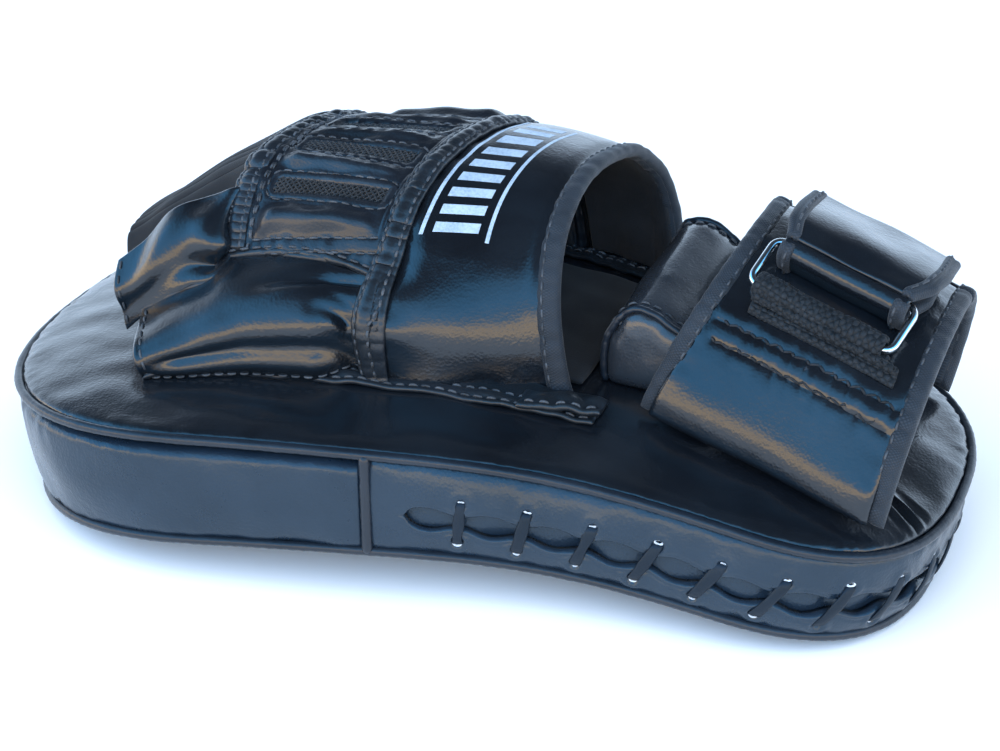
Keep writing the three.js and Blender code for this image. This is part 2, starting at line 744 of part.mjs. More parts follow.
function ringGeometry() {
  const { length, height, corner } = RING;
  const centres = [
    [length - corner, corner, -90],
    [length - corner, height - corner, 0],
    [corner, height - corner, 90],
    [corner, corner, 180],
  ];
  const route = [];
  const steps = 4;
  for (const [a, b, start] of centres) {
    for (let i = 0; i <= steps; i++) {
      const turn = degToRad(start + (90 * i) / steps);
      route.push({ a: a + corner * Math.cos(turn), b: b + corner * Math.sin(turn), turn });
    }
  }
  const sides = 8;
  const rings = route.map(({ a, b, turn }) =>
    Array.from({ length: sides }, (_, k) => {
      const spin = (2 * Math.PI * k) / sides;
      const outward = RING.wire * Math.cos(spin);
      return inRing(a + outward * Math.cos(turn), b + outward * Math.sin(turn), RING.wire * Math.sin(spin));
    }),
  );
  return loft(rings, true);
}

// The strap's fold round the upper bar of the ring; turn runs from under the bar to over it.
function foldPoint(x, turn, radius) {
  const angle = degToRad(turn);
  return inRing(x - RING_LOW_X, RING.height - radius * Math.cos(angle), radius * Math.sin(angle));
}

function strapLine(x) {
  const line = [];
  const steps = 6;
  for (let i = 0; i < steps; i++) {
    line.push(overCuff(x, lerp(FAR_WING_END - 2, 82, i / (steps - 1)), WING / 2 + GAP + STRAP.thickness / 2 + 0.3));
  }
  for (let i = 0; i <= 8; i++) line.push(foldPoint(x, lerp(-88, 88, i / 8), STRAP.foldRadius));
  return line;
}

function tailLine(x) {
  const line = [foldPoint(x, 103, STRAP.foldRadius + 0.4)];
  const steps = 6;
  for (let i = 1; i <= steps; i++) {
    const share = i / steps;
    const degrees = lerp(RING.highAngle + 3, TAIL.end, share);
    const offset = TAIL.offset + lerp(3, 0, Math.min(1, share * 1.6));
    line.push(overCuff(x, degrees, offset));
  }
  return line;
}

function strapSheet(lineAt, x0, x1, low, high) {
  const count = lineAt(x0).length - 1;
  const grid = gridOf(count, 3, (r, c) => lineAt(lerp(x0, x1, c))[Math.round(r * count)]);
  return sheet(grid, low, high);
}

function addClosure() {
  const half = STRAP.thickness / 2;
  addPiece("strap_ring", "chrome", ringGeometry());
  addPiece("closure_strap", "leather", strapSheet(strapLine, STRAP.x0, STRAP.x1, -half, half));
  const tailHalf = TAIL.thickness / 2;
  const left = TAIL.x0 + TAIL.binding;
  const right = TAIL.x1 - TAIL.binding;
  addPiece("strap_tail", "leather", strapSheet(tailLine, left + GAP, right - GAP, -tailHalf, tailHalf));
  addPiece(
    "tail_left_binding",
    "binding",
    strapSheet(tailLine, left - TAIL.binding, left, -tailHalf - 0.3, tailHalf + 0.3),
  );
  addPiece(
    "tail_right_binding",
    "binding",
    strapSheet(tailLine, right, right + TAIL.binding, -tailHalf - 0.3, tailHalf + 0.3),
  );
}

function coverPatch(low, inset) {
  const grid = (offset) =>
    gridOf(1, 3, (r, c) =>
      overCuff(lerp(STRAP.x0 + inset, STRAP.x1 - inset, r), lerp(90, 101, c), offset),
    );
  return between(grid(low + PATCH), grid(low));
}

function addPatches() {
  const loopLow = WING / 2 + GAP + STRAP.thickness + 0.3 + GAP;
  addPiece("loop_patch", "hook", coverPatch(loopLow, 5));
  addPiece("hook_patch", "hook", coverPatch(loopLow + PATCH + GAP, 5));
}

// Webbing sewn to the near wing, wrapped once round the ring's lower bar.
function addWebbing() {
  const radius = RING.wire + GAP + WEBBING.thickness / 2;
  const line = (x) => {
    const points = [];
    for (let i = 0; i < 3; i++) {
      points.push(overCuff(x, lerp(WEBBING.start, 49, i / 2), WING / 2 + GAP + WEBBING.thickness / 2));
    }
    for (let i = 0; i <= 8; i++) {
      const turn = degToRad(lerp(-90, 110, i / 8));
      points.push(inRing(x - RING_LOW_X, radius * Math.cos(turn), radius * Math.sin(turn)));
    }
    points.push(overCuff(x, 47.5, WING / 2 + 2 * GAP + WEBBING.thickness * 1.5 + 0.6));
    return points;
  };
  const half = WEBBING.thickness / 2;
  addPiece("webbing_loop", "webbing", strapSheet(line, WEBBING.x0, WEBBING.x1, -half, half));
}

addPad();
addBase();
addHandCover();
addFingerCover();
addThumb();
addPocketEnd();
addBolster();
addWing("cuff_near_wing", 1, NEAR_WING_END);
addWing("cuff_far_wing", 180, FAR_WING_END);
addWebbing();
addClosure();
addPatches();

// The origin is the middle of the bounding box, on the surface that the mitt lies on.
const box = new THREE.Box3().setFromObject(part);
const middle = box.getCenter(new THREE.Vector3());
part.position.set(-middle.x, -middle.y, -box.min.z);

export default part;
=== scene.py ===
import json
import math

import bmesh
import bpy
import numpy as np
from mathutils import Matrix, Vector
from mathutils.bvhtree import BVHTree


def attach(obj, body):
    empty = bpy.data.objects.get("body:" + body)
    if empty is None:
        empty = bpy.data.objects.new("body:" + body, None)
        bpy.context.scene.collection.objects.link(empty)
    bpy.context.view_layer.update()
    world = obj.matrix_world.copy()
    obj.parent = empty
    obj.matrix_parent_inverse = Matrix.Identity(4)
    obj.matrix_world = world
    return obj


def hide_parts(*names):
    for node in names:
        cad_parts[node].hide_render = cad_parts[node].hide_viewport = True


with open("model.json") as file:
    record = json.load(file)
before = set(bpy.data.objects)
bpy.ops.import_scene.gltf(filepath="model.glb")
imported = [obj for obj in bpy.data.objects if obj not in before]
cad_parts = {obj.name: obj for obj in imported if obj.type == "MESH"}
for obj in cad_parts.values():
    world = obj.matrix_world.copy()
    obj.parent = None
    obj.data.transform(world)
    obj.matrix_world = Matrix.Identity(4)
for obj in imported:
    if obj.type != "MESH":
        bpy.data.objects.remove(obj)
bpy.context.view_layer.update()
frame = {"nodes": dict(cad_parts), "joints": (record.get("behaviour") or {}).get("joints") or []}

# The looks of a curved boxing focus mitt. Lengths are in millimetres and in the pad's own space: x runs from
# the finger end to the wrist end, y from the thumb side to the far side, z up from the striking face.
# new_piece() moves them to the frame and to metres.

# ---- Driving dimensions, as in the CAD ----
MM = 0.001
GAP = 0.4
PAD_LENGTH = 290
HALF_LENGTH = PAD_LENGTH / 2
FINGER_HALF_WIDTH = 100.4
WRIST_HALF_WIDTH = 63.6
WAIST_DEPTH, WAIST_X, WAIST_SPREAD = 4.1, 41, 45
FINGER_CAP_LENGTH, FINGER_CAP_POWER = 89.5, 2.26
WRIST_CAP_LENGTH, WRIST_CAP_POWER = 51.8, 2.52
FINGER_THICKNESS = 38.9
WRIST_THICKNESS = 30
BEND_RADIUS = 662
BACK_CROWN = 4.5
CROWN_RUN = 30
PIPING = 1.5
SIDE_SEAM_X = -6

KNUCKLE_X = -4
OPENING_X = 36
HAND = {
    "foot": (2.4, 2.4, 0),
    "centre": (19, 22, -8),
    "near": (63, 54, -12),
    "far": (54, 55, 3),
    "height": (59, 55, -2),
    "nearPinch": (0, 3, 0),
    "farPinch": (0, 14, 0),
    "yaw": (9, 3, 0),
    "lean": (8.5, 14, 0),
}
HAND_POWER = 2.3
FAR_FOOT_DROP = 3
COVER = 2.2
FOOT_REACH, FOOT_TOP = 3.5, 37
FOOT_FLARE, FOOT_BULGE, BULGE_TOP = 4.2, 5.5, 36
FINGER_COVER_X = -50
BAND_WIDTH = 6.6
VENT_START, VENT_END = -46, -10
VENT_ANGLES = (57, 77, 92, 107)
VENT_FAN = (2, 6, 4, 2)
VENT_HALF_WIDTH = 3.7
VENT_CORNER = 1.6

CUFF_X0, CUFF_X1 = 60, 127
CUFF = {
    "foot": (5.4, 3.4),
    "centre": (18, 8),
    "near": (48, 52),
    "far": (46, 50),
    "height": (55, 47),
    "nearPinch": (0, 0),
    "farPinch": (4, 14),
}
CUFF_POWER = 2.2
WING = 5
BINDING = 5.2
NEAR_WING_END = 108
FAR_WING_END = 114

RING_LENGTH, RING_HEIGHT, RING_WIRE, RING_CORNER = 45.4, 15.5, 1.25, 3
RING_LOW_X, RING_LOW_ANGLE, RING_LOW_OFFSET = 76, 55, 6
RING_HIGH_ANGLE, RING_HIGH_OFFSET = 71, 9
STRAP_X0, STRAP_X1, STRAP_THICKNESS, FOLD_RADIUS = 79.5, 119.4, 2, 5.3
TAIL_X0, TAIL_X1, TAIL_END, TAIL_OFFSET, TAIL_BINDING = 79, 121, 102.5, 9.6, 4.6
WEBBING_X0, WEBBING_X1, WEBBING_START, WEBBING_THICKNESS = 78.4, 119.6, 45.5, 1.4
WEBBING_ROLL = 3.0
FOLD_TURN, FOLD_POWER = 82, 4
STRAP_LAP = 13

BOLSTER_X0, BOLSTER_X1, BOLSTER_Y0, BOLSTER_Y1 = 39.5, 74, -18, 46
BOLSTER_HEIGHT, BOLSTER_LOW, BOLSTER_FOOT = 32, 18, 6.2

LACE_SPACING, LACE_START, LACE_WIDTH = 18, 15.3, 3.9
SLOT_START, SLOT_WIDE, SLOT_PINCHED = 11.3, 3.7, 1.8
SLOT_MIDDLE, SLOT_LIFT, SLOT_LIFT_RUN = 0.4, 3, 25
HOLE_REACH = 6.6
LACE_SLANT = 0.8

# ---- Camera: the direction it looks from, in degrees, and its place in metres ----
CAMERA_AZIMUTH, CAMERA_ELEVATION, CAMERA_ROLL = 22.136, 27.321, 0.322
CAMERA_PLACE = (0.22684, -0.55037, 0.34424)
LENS = 76.1


# ---- Small maths ----
def lerp(low, high, share):
    return low + (high - low) * share


def smooth(value):
    value = np.clip(value, 0, 1)
    return value * value * (3 - 2 * value)


def bell(distance, width):
    return np.exp(-((distance / width) ** 2))


def points_of(x, y, z):
    return np.stack(np.broadcast_arrays(x, y, z), axis=-1).astype(float)


def unit(vectors):
    return vectors / np.maximum(np.linalg.norm(vectors, axis=-1, keepdims=True), 1e-12)


WAVE_COUNT = 9


def waves(places, size, seed):
    """Smooth ripples about `size` long that don't repeat, from about -1 to 1."""
    rng = np.random.default_rng(seed)
    total = 0.0
    for _ in range(WAVE_COUNT):
        heading = unit(rng.normal(size=places.shape[-1]))
        pitch = size * rng.uniform(0.7, 1.6)
        total = total + np.sin(places @ heading * (2 * np.pi / pitch) + rng.uniform(0, 2 * np.pi))
    return total / math.sqrt(WAVE_COUNT)


def ripples(u, v, size, seed):
    return waves(np.stack(np.broadcast_arrays(u, v), axis=-1).astype(float), size, seed)


# How far apart normals look along u and v: in millimetres and degrees, and on a surface from 0 to 1.
WORLD_STEPS = (0.15, 0.15)
UNIT_STEPS = (0.004, 0.004)


def normal_of(surface, u, v, steps=None):
    du, dv = steps or getattr(surface, "steps", WORLD_STEPS)
    along = surface(u + du, v) - surface(u - du, v)
    across = surface(u, v + dv) - surface(u, v - dv)
    return unit(np.cross(along, across))


def lifted(surface, height):
    """The surface moved along its normals; height is a number or a function of u and v."""

    def moved(u, v):
        rise = height(u, v) if callable(height) else np.full(np.shape(u), float(height))
        return surface(u, v) + normal_of(surface, u, v) * rise[..., None]

    moved.steps = getattr(surface, "steps", WORLD_STEPS)
    return moved


def on_unit(surface):
    surface.steps = UNIT_STEPS
    return surface


def spline_weights(share):
    """Catmull-Rom weights of the four neighbours of a place."""
    s = share
    return (
        (-s + 2 * s**2 - s**3) / 2,
        (2 - 5 * s**2 + 3 * s**3) / 2,
        (s + 4 * s**2 - 3 * s**3) / 2,
        (-(s**2) + s**3) / 2,
    )


def patch(grid):
    """A smooth surface through a grid of points; u and v run from 0 to 1."""
    grid = np.asarray(grid, float)
    for axis in (0, 1):
        first, second, second_last, last = (np.take(grid, [at], axis) for at in (0, 1, -2, -1))
        grid = np.concatenate([2 * first - second, grid, 2 * last - second_last], axis)
    rows, columns = grid.shape[0] - 3, grid.shape[1] - 3

    def surface(u, v):
        u, v = np.broadcast_arrays(np.asarray(u, float), np.asarray(v, float))
        row = np.clip(np.floor(u * rows), 0, rows - 1).astype(int)
        column = np.clip(np.floor(v * columns), 0, columns - 1).astype(int)
        total = 0.0
        for i, row_weight in enumerate(spline_weights(u * rows - row)):
            for j, column_weight in enumerate(spline_weights(v * columns - column)):
                total = total + (row_weight * column_weight)[..., None] * grid[row + i, column + j]
        return total

    return surface


def curve(knots):
    """A smooth line through given points; its parameter runs from 0 to 1."""
    line = patch(np.stack([knots, knots], axis=1))
    return lambda share: line(share, np.zeros(np.shape(share)))


def run_along(route):
    """Distance along a route at each of its points."""
    steps = np.linalg.norm(np.diff(route, axis=0), axis=1)
    return np.concatenate([[0], np.cumsum(steps)])


def resample(route, run):
    """The route's values at these distances along it; route may hold normals after the places."""
    lengths = run_along(route[:, :3])
    return np.stack([np.interp(run, lengths, route[:, k]) for k in range(route.shape[1])], axis=-1)


# ---- The pad's own space ----
def bend(x, y, z):
    turn = np.asarray(x) / BEND_RADIUS
    radius = BEND_RADIUS + np.asarray(z)
    base = BEND_RADIUS * math.cos(HALF_LENGTH / BEND_RADIUS)
    return points_of(radius * np.sin(turn), y, radius * np.cos(turn) - base)


def wall_height(x):
    return lerp(FINGER_THICKNESS, WRIST_THICKNESS, (x + HALF_LENGTH) / PAD_LENGTH)


def end_rounding(x, length, power):
    along = np.clip((x - (HALF_LENGTH - length)) / length, 0, 1)
    return (1 - along**power) ** (1 / power)


def half_width(x):
    side = lerp(FINGER_HALF_WIDTH, WRIST_HALF_WIDTH, smooth((x + HALF_LENGTH) / PAD_LENGTH))
    waist = WAIST_DEPTH * bell(x - WAIST_X, WAIST_SPREAD)
    finger_end = end_rounding(-x, FINGER_CAP_LENGTH, FINGER_CAP_POWER)
    wrist_end = end_rounding(x, WRIST_CAP_LENGTH, WRIST_CAP_POWER)
    return (side - waist) * (finger_end * wrist_end)


def outline_at(degrees, inset):
    """A point of the outline, moved inwards. 0 degrees is the finger end and 180 the wrist end, and the near
    side lies between them."""

    def place(angle):
        x = -HALF_LENGTH * np.cos(np.radians(angle))
        return np.stack([x, -np.sign(np.sin(np.radians(angle))) * half_width(x)], axis=-1)

    step = 0.4
    tangent = unit(place(degrees + step) - place(degrees - step))
    inwards = np.stack([-tangent[..., 1], tangent[..., 0]], axis=-1)
    return place(degrees) + inwards * np.asarray(inset, float)[..., None]


def outline_angle(x):
    return math.degrees(math.acos(-x / HALF_LENGTH))


def crown(x, y):
    ends = np.sqrt(np.clip((HALF_LENGTH - np.abs(x)) / CROWN_RUN, 0, 1))
    across = np.clip(np.abs(y) / np.maximum(half_width(x), 1), 0, 1)
    return BACK_CROWN * ends * (1 - across**2.5)


def on_back(x, y, height):
    return bend(x, y, wall_height(np.asarray(x)) + height)


# ---- Arches over the back ----
def arch_point(arch, power, degrees):
    angle = np.radians(degrees)
    near_side = degrees < 90
    rise = np.maximum(np.sin(angle), 0) ** (2 / power)
    reach = np.abs(np.cos(angle)) ** (2 / power)
    width = np.where(near_side, arch["near"], arch["far"])
    pinch = np.where(near_side, arch["nearPinch"], arch["farPinch"]) * (1 - rise) ** 2
    y = arch["centre"] - np.where(near_side, 1, -1) * (width - pinch) * reach
    return y, lerp(arch["foot"], arch["height"], rise)


def hand(station, degrees):
    """The middle surface of the hand and finger covers."""
    share = (station - KNUCKLE_X) / (OPENING_X - KNUCKLE_X)
    arch = {
        key: np.where(share > 0, lerp(knuckle, opening, share), knuckle - finger * share)
        for key, (knuckle, opening, finger) in HAND.items()
    }
    y, height = arch_point(arch, HAND_POWER, degrees)
    yaw = np.tan(np.radians(arch["yaw"])) * (y - arch["centre"])
    lean = np.tan(np.radians(arch["lean"])) * height
    sewn_in = FAR_FOOT_DROP * np.exp(-(180 - np.asarray(degrees)) / 4)
    return on_back(station + yaw - lean, y, height - sewn_in)


def cuff(x, degrees):
    """The middle surface of the wrist cuff."""
    share = np.clip((x - CUFF_X0) / (CUFF_X1 - CUFF_X0), -0.1, 1.1)
    arch = {key: lerp(start, end, share) for key, (start, end) in CUFF.items()}
    y, height = arch_point(arch, CUFF_POWER, degrees)
    return on_back(x, y, height)


def over_cuff(x, degrees, offset):
    x, degrees = np.broadcast_arrays(np.asarray(x, float), np.asarray(degrees, float))
    normal = normal_of(cuff, x, degrees, (0.5, 0.5))
    return cuff(x, degrees) + normal * np.asarray(offset, float)[..., None]


def cuff_left(degrees):
    return 55 + 14.5 * np.sin(np.radians(degrees))


def cuff_right(degrees):
    return 129.5 - 1.5 * np.sin(np.radians(degrees))


def ring_axes():
    origin = over_cuff(RING_LOW_X, RING_LOW_ANGLE, RING_LOW_OFFSET)
    right = over_cuff(RING_LOW_X + RING_LENGTH, RING_LOW_ANGLE, RING_LOW_OFFSET)
    top = over_cuff(RING_LOW_X + 2, RING_HIGH_ANGLE, RING_HIGH_OFFSET)
    along = unit(right - origin)
    up = top - origin
    up = unit(up - along * (up @ along))
    out = np.cross(along, up)
    return origin, along, up, out


RING_ORIGIN, RING_ALONG, RING_UP, RING_OUT = ring_axes()


def in_ring(along, up, out):
    along, up, out = (np.asarray(value, float)[..., None] for value in (along, up, out))
    return RING_ORIGIN + RING_ALONG * along + RING_UP * up + RING_OUT * out


def pad_to_frame():
    """How far the pad's own space is from the frame: the ring's hinge lies on its lower bar in both."""
    hinge = next(joint for joint in frame["joints"] if joint["name"] == "ring_swivel")
    return np.array(hinge["pos_m"]) / MM - in_ring(RING_LENGTH / 2, 0, 0)


SHIFT = pad_to_frame()


# ---- Mesh helpers ----
def new_piece(name, looks, points, faces):
    """A smooth mesh object from points in the pad's space."""
    mesh = bpy.data.meshes.new(name)
    mesh.from_pydata(((points + SHIFT) * MM).tolist(), [], faces)
    mesh.shade_smooth()
    for look in looks:
        mesh.materials.append(MATERIALS[look])
    piece = bpy.data.objects.new(name, mesh)
    bpy.context.scene.collection.objects.link(piece)
    return piece


def build_mesh(name, look, points, faces, flat=None, second=None):
    """A mesh object. flat gives each point's place on the flat cloth, and second is the faces that show the
    second material."""
    looks = [look] if isinstance(look, str) else look
    piece = new_piece(name, looks, points, np.asarray(faces).tolist())
    mesh = piece.data
    if flat is not None:
        corner = np.zeros(len(mesh.loops), int)
        mesh.loops.foreach_get("vertex_index", corner)
        layer = mesh.uv_layers.new(name="Cloth")
        layer.uv.foreach_set("vector", (flat[corner] * MM).astype(np.float32).ravel())
    if second is not None:
        slots = np.zeros(len(mesh.polygons), np.int32)
        slots[second] = 1
        mesh.polygons.foreach_set("material_index", slots)
    mesh.validate()
    return piece


def place(piece, slot, replaces=(), body="root"):
    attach(piece, body)
    if replaces:
        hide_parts(*replaces)
    return piece


def grid_faces(index):
    """Quads between neighbouring points of a grid of point numbers."""
    corners = [index[:-1, :-1], index[1:, :-1], index[1:, 1:], index[:-1, 1:]]
    return np.stack(corners, axis=-1).reshape(-1, 4)


def grid_normals(grid):
    return unit(np.cross(np.gradient(grid, axis=0), np.gradient(grid, axis=1)))


RIM_STEPS = 5


def rim_places(count, share):
    """Positions from 0 to 1, close together over the rounded rims, and the rim's height at each."""
    turn = np.linspace(0, np.pi / 2, RIM_STEPS)[:-1]
    near = share * (1 - np.cos(turn))
    at = np.concatenate([near, np.linspace(share, 1 - share, count), 1 - near[::-1]])
    height = np.concatenate([np.sin(turn), np.ones(count), np.sin(turn)[::-1]])
    return at, height


def slab(name, look, surface, u_span, v_span, counts, half, offset=0.0, puff=None, edge=None):
    """A closed sheet with rounded rims round a surface. offset moves it along the normals. puff is a function of
    u and v that thickens its upper side."""
    edge = half if edge is None else edge
    middle_u, middle_v = lerp(*u_span, 0.5), lerp(*v_span, 0.5)
    sweep = np.linspace(0, 1, 40)
    length_u = run_along(surface(lerp(*u_span, sweep), np.full(40, middle_v)))[-1]
    length_v = run_along(surface(np.full(40, middle_u), lerp(*v_span, sweep)))[-1]
    u_at, u_rim = rim_places(counts[0], min(edge / length_u, 0.45))
    v_at, v_rim = rim_places(counts[1], min(edge / length_v, 0.45))
    u, v = np.meshgrid(lerp(*u_span, u_at), lerp(*v_span, v_at), indexing="ij")
    middle = surface(u, v)
    normal = grid_normals(middle)
    rim = np.outer(u_rim, v_rim)
    extra = 0 if puff is None else puff(u, v) * rim
    top = middle + normal * (offset + half * rim + extra)[..., None]
    bottom = middle + normal * (offset - half * rim)[..., None]
    flat = np.stack(np.meshgrid(u_at * length_u, v_at * length_v, indexing="ij"), axis=-1)
    return shell(name, look, top, bottom, flat)


def shell(name, look, top, bottom, flat=None):
    """The closed mesh between two grids that share their border."""
    rows, columns = top.shape[:2]
    above = np.arange(rows * columns).reshape(rows, columns)
    below = above.copy()
    inside = (rows - 2) * (columns - 2)
    below[1:-1, 1:-1] = rows * columns + np.arange(inside).reshape(rows - 2, columns - 2)
    points = np.concatenate([top.reshape(-1, 3), bottom[1:-1, 1:-1].reshape(-1, 3)])
    upper = grid_faces(above)
    faces = np.concatenate([upper, grid_faces(below)[:, ::-1]])
    places = None if flat is None else np.concatenate([flat.reshape(-1, 2), flat[1:-1, 1:-1].reshape(-1, 2)])
    second = np.arange(len(upper), len(faces)) if not isinstance(look, str) else None
    return build_mesh(name, look, points, faces, places, second)


def frames_along(route, closed, up):
    """Tangent, side and rise at each point of a route, without twist."""
    if closed:
        tangent = unit(np.roll(route, -1, axis=0) - np.roll(route, 1, axis=0))
    else:
        tangent = unit(np.gradient(route, axis=0))
    if up is None:
        rise = np.zeros_like(route)
        start = np.array([0.0, 0.0, 1.0]) if abs(tangent[0, 2]) < 0.8 else np.array([0.0, 1.0, 0.0])
        rise[0] = unit(start - tangent[0] * (start @ tangent[0]))
        for i in range(1, len(route)):
            rise[i] = unit(rise[i - 1] - tangent[i] * (rise[i - 1] @ tangent[i]))
    else:
        up = np.broadcast_to(up, route.shape)
        rise = unit(up - tangent * (up * tangent).sum(axis=-1, keepdims=True))
    return tangent, np.cross(tangent, rise), rise


CAP_STEPS = 3


def cord_arrays(route, width, height=None, up=None, sides=12, closed=False, power=2.0):
    """Points and faces of a cord along a route. width and height are half sizes; power squares it."""
    route = np.asarray(route, float)
    width = np.broadcast_to(np.asarray(width, float), len(route))
    height = width if height is None else np.broadcast_to(np.asarray(height, float), len(route))
    tangent, side, rise = frames_along(route, closed, up)
    if not closed:
        turn = np.linspace(0, np.pi / 2, CAP_STEPS + 1)[1:]
        reach = min(height[0], width[0])
        shrink = np.cos(turn)
        shrink[-1] = 0.02
        ends = []
        for at, sign in ((0, -1), (-1, 1)):
            out = route[at] + sign * tangent[at] * (np.sin(turn) * reach)[:, None]
            copies = [np.repeat(a[at][None], CAP_STEPS, axis=0) for a in (side, rise)]
            ends.append((out, copies[0], copies[1], width[at] * shrink, height[at] * shrink))
        first, last = ends
        route = np.concatenate([first[0][::-1], route, last[0]])
        side = np.concatenate([first[1], side, last[1]])
        rise = np.concatenate([first[2], rise, last[2]])
        width = np.concatenate([first[3][::-1], width, last[3]])
        height = np.concatenate([first[4][::-1], height, last[4]])
    spin = 2 * np.pi * np.arange(sides) / sides
    across = np.sign(np.cos(spin)) * np.abs(np.cos(spin)) ** (2 / power)
    upwards = np.sign(np.sin(spin)) * np.abs(np.sin(spin)) ** (2 / power)
    rings = (
        route[:, None]
        + side[:, None] * (width[:, None] * across)[..., None]
        + rise[:, None] * (height[:, None] * upwards)[..., None]
    )
    count = len(route)
    index = np.arange(count * sides).reshape(count, sides)
    index = np.concatenate([index, index[:, :1]], axis=1)
    if closed:
        index = np.concatenate([index, index[:1]])
    faces = grid_faces(index)[:, ::-1].tolist()
    if not closed:
        faces.append(index[0, :-1].tolist())
        faces.append(index[-1, :-1][::-1].tolist())
    return rings.reshape(-1, 3), faces


def join_arrays(parts):
    """Points and faces of several parts as one."""
    points, faces, start = [], [], 0
    for part_points, part_faces in parts:
        points.append(part_points)
        faces.extend([[start + i for i in face] for face in part_faces])
        start += len(part_points)
    return np.concatenate(points), faces


def build_parts(name, look, parts):
    return new_piece(name, [look], *join_arrays(parts))


def cord(name, look, route, width, **options):
    return build_parts(name, look, [cord_arrays(route, width, **options)])


# ---- Stitching ----
STITCH = 2.9
STITCH_GAP = 1.1
THREAD = 0.36
STITCH_WANDER = 0.12


def row_on(surface, u, v, lift=0.0):
    """A line on a surface, with the surface's normal at each point."""
    u, v = np.broadcast_arrays(np.asarray(u, float), np.asarray(v, float))
    normal = normal_of(surface, u, v)
    return np.concatenate([surface(u, v) + normal * lift, normal], axis=1)


def stitch_arrays(starts, ends, normals, thread):
    """One short raised thread from each start to each end, with both ends going into the material."""
    shares = np.array([0.0, 0.14, 0.5, 0.86, 1.0])
    rise = np.array([-0.7, 0.45, 0.8, 0.45, -0.7]) * thread
    radius = np.array([0.55, 1.0, 1.1, 1.0, 0.55]) * thread
    sides = 6
    heading = unit(ends - starts)
    side = np.cross(heading, normals)
    spin = 2 * np.pi * np.arange(sides) / sides
    line = lerp(starts[:, None], ends[:, None], shares[:, None]) + normals[:, None] * rise[:, None]
    ring = (
        side[:, None, None] * np.cos(spin)[:, None] + normals[:, None, None] * np.sin(spin)[:, None]
    ) * radius[:, None, None]
    points = (line[:, :, None] + ring).reshape(-1, 3)
    index = np.arange(len(shares) * sides).reshape(len(shares), sides)
    index = np.concatenate([index, index[:, :1]], axis=1)
    quads = grid_faces(index)[:, ::-1].tolist()
    caps = [index[0, :-1].tolist(), index[-1, :-1][::-1].tolist()]
    faces = []
    for i in range(len(starts)):
        start = i * len(shares) * sides
        faces.extend([[start + k for k in face] for face in quads + caps])
    return points, faces


def running_stitches(row, pitch=STITCH + STITCH_GAP, length=STITCH, thread=THREAD, seed=1):
    total = run_along(row[:, :3])[-1]
    count = max(int(total / pitch), 1)
    rng = np.random.default_rng(seed)
    middles = (np.arange(count) + 0.5) * total / count + rng.normal(0, STITCH_WANDER, count)
    first = resample(row, middles - length / 2)
    last = resample(row, middles + length / 2)
    return stitch_arrays(first[:, :3], last[:, :3], unit(first[:, 3:] + last[:, 3:]), thread)


def zigzag_stitches(surface, u, v, reach, pitch, thread, seed):
    """Slanting stitches between two lines beside a row; u and v are functions of the share along the row."""
    shares = np.linspace(0, 1, 200)
    total = run_along(surface(u(shares), v(shares)))[-1]
    count = int(total / pitch)
    rng = np.random.default_rng(seed)
    at = np.clip((np.arange(count + 1) + rng.normal(0, 0.08, count + 1)) / count, 0, 1)
    side = reach * (1 - 2 * (np.arange(count + 1) % 2)) * rng.uniform(0.8, 1.15, count + 1)
    places = surface(u(at), v(at) + side)
    normals = normal_of(surface, u(at), v(at) + side)
    return stitch_arrays(places[:-1], places[1:], unit(normals[:-1] + normals[1:]), thread)


def sew(name, rows, body="root", slot="seam_tape", look="thread"):
    """All the stitches of one seam group as one piece; rows are points and faces."""
    place(build_parts(name, look, rows), slot, body=body)


def declare_sheet(piece):
    """Reads the flat layout of a sheet from its Cloth map; nothing is done with it."""
    mesh = piece.data
    spans = np.zeros(len(mesh.loops) * 2, np.float32)
    mesh.uv_layers["Cloth"].uv.foreach_get("vector", spans)


# ---- Material helpers: sizes are given in millimetres ----
def feed(tree, socket, value):
    """Links another node's output to a socket, or sets the socket to a constant."""
    if isinstance(value, bpy.types.NodeSocket):
        tree.links.new(value, socket)
    else:
        socket.default_value = value


def add_node(tree, kind, inputs=None, **settings):
    node = tree.nodes.new(kind)
    for key, value in settings.items():
        setattr(node, key, value)
    for key, value in (inputs or {}).items():
        feed(tree, node.inputs[key], value)
    return node


def set_shader(tree, shader, **values):
    """Sets the shader's sockets; an underscore in a name stands for a space."""
    for key, value in values.items():
        feed(tree, shader.inputs[key.replace("_", " ")], value)


def start_material(name):
    look = bpy.data.materials.new(name)
    look.use_nodes = True
    tree = look.node_tree
    return look, tree, tree.nodes["Principled BSDF"]


def noise(tree, size, detail=3.0, roughness=0.55, warp=0.0):
    vector = add_node(tree, "ShaderNodeTexCoord").outputs["Object"]
    values = {"Vector": vector, "Scale": 1 / (size * MM), "Detail": detail}
    values.update({"Roughness": roughness, "Distortion": warp})
    return add_node(tree, "ShaderNodeTexNoise", values).outputs["Fac"]


def cells(tree, size):
    vector = add_node(tree, "ShaderNodeTexCoord").outputs["Object"]
    values = {"Vector": vector, "Scale": 1 / (size * MM)}
    return add_node(tree, "ShaderNodeTexVoronoi", values).outputs["Distance"]


def remap(tree, value, low, high, to_low=0.0, to_high=1.0):
    values = {"Value": value, "From Min": low, "From Max": high, "To Min": to_low, "To Max": to_high}
    return add_node(tree, "ShaderNodeMapRange", values).outputs["Result"]


def blend_colour(tree, share, first, second):
    """Mixes two colours, each a triple or another node's output."""
    node = add_node(tree, "ShaderNodeMix", {0: share}, data_type="RGBA")
    ends = [socket for socket in node.inputs if socket.type == "RGBA"]
    for socket, colour in zip(ends, (first, second)):
        feed(tree, socket, (*colour, 1) if isinstance(colour, tuple) else colour)
    return next(socket for socket in node.outputs if socket.type == "RGBA")


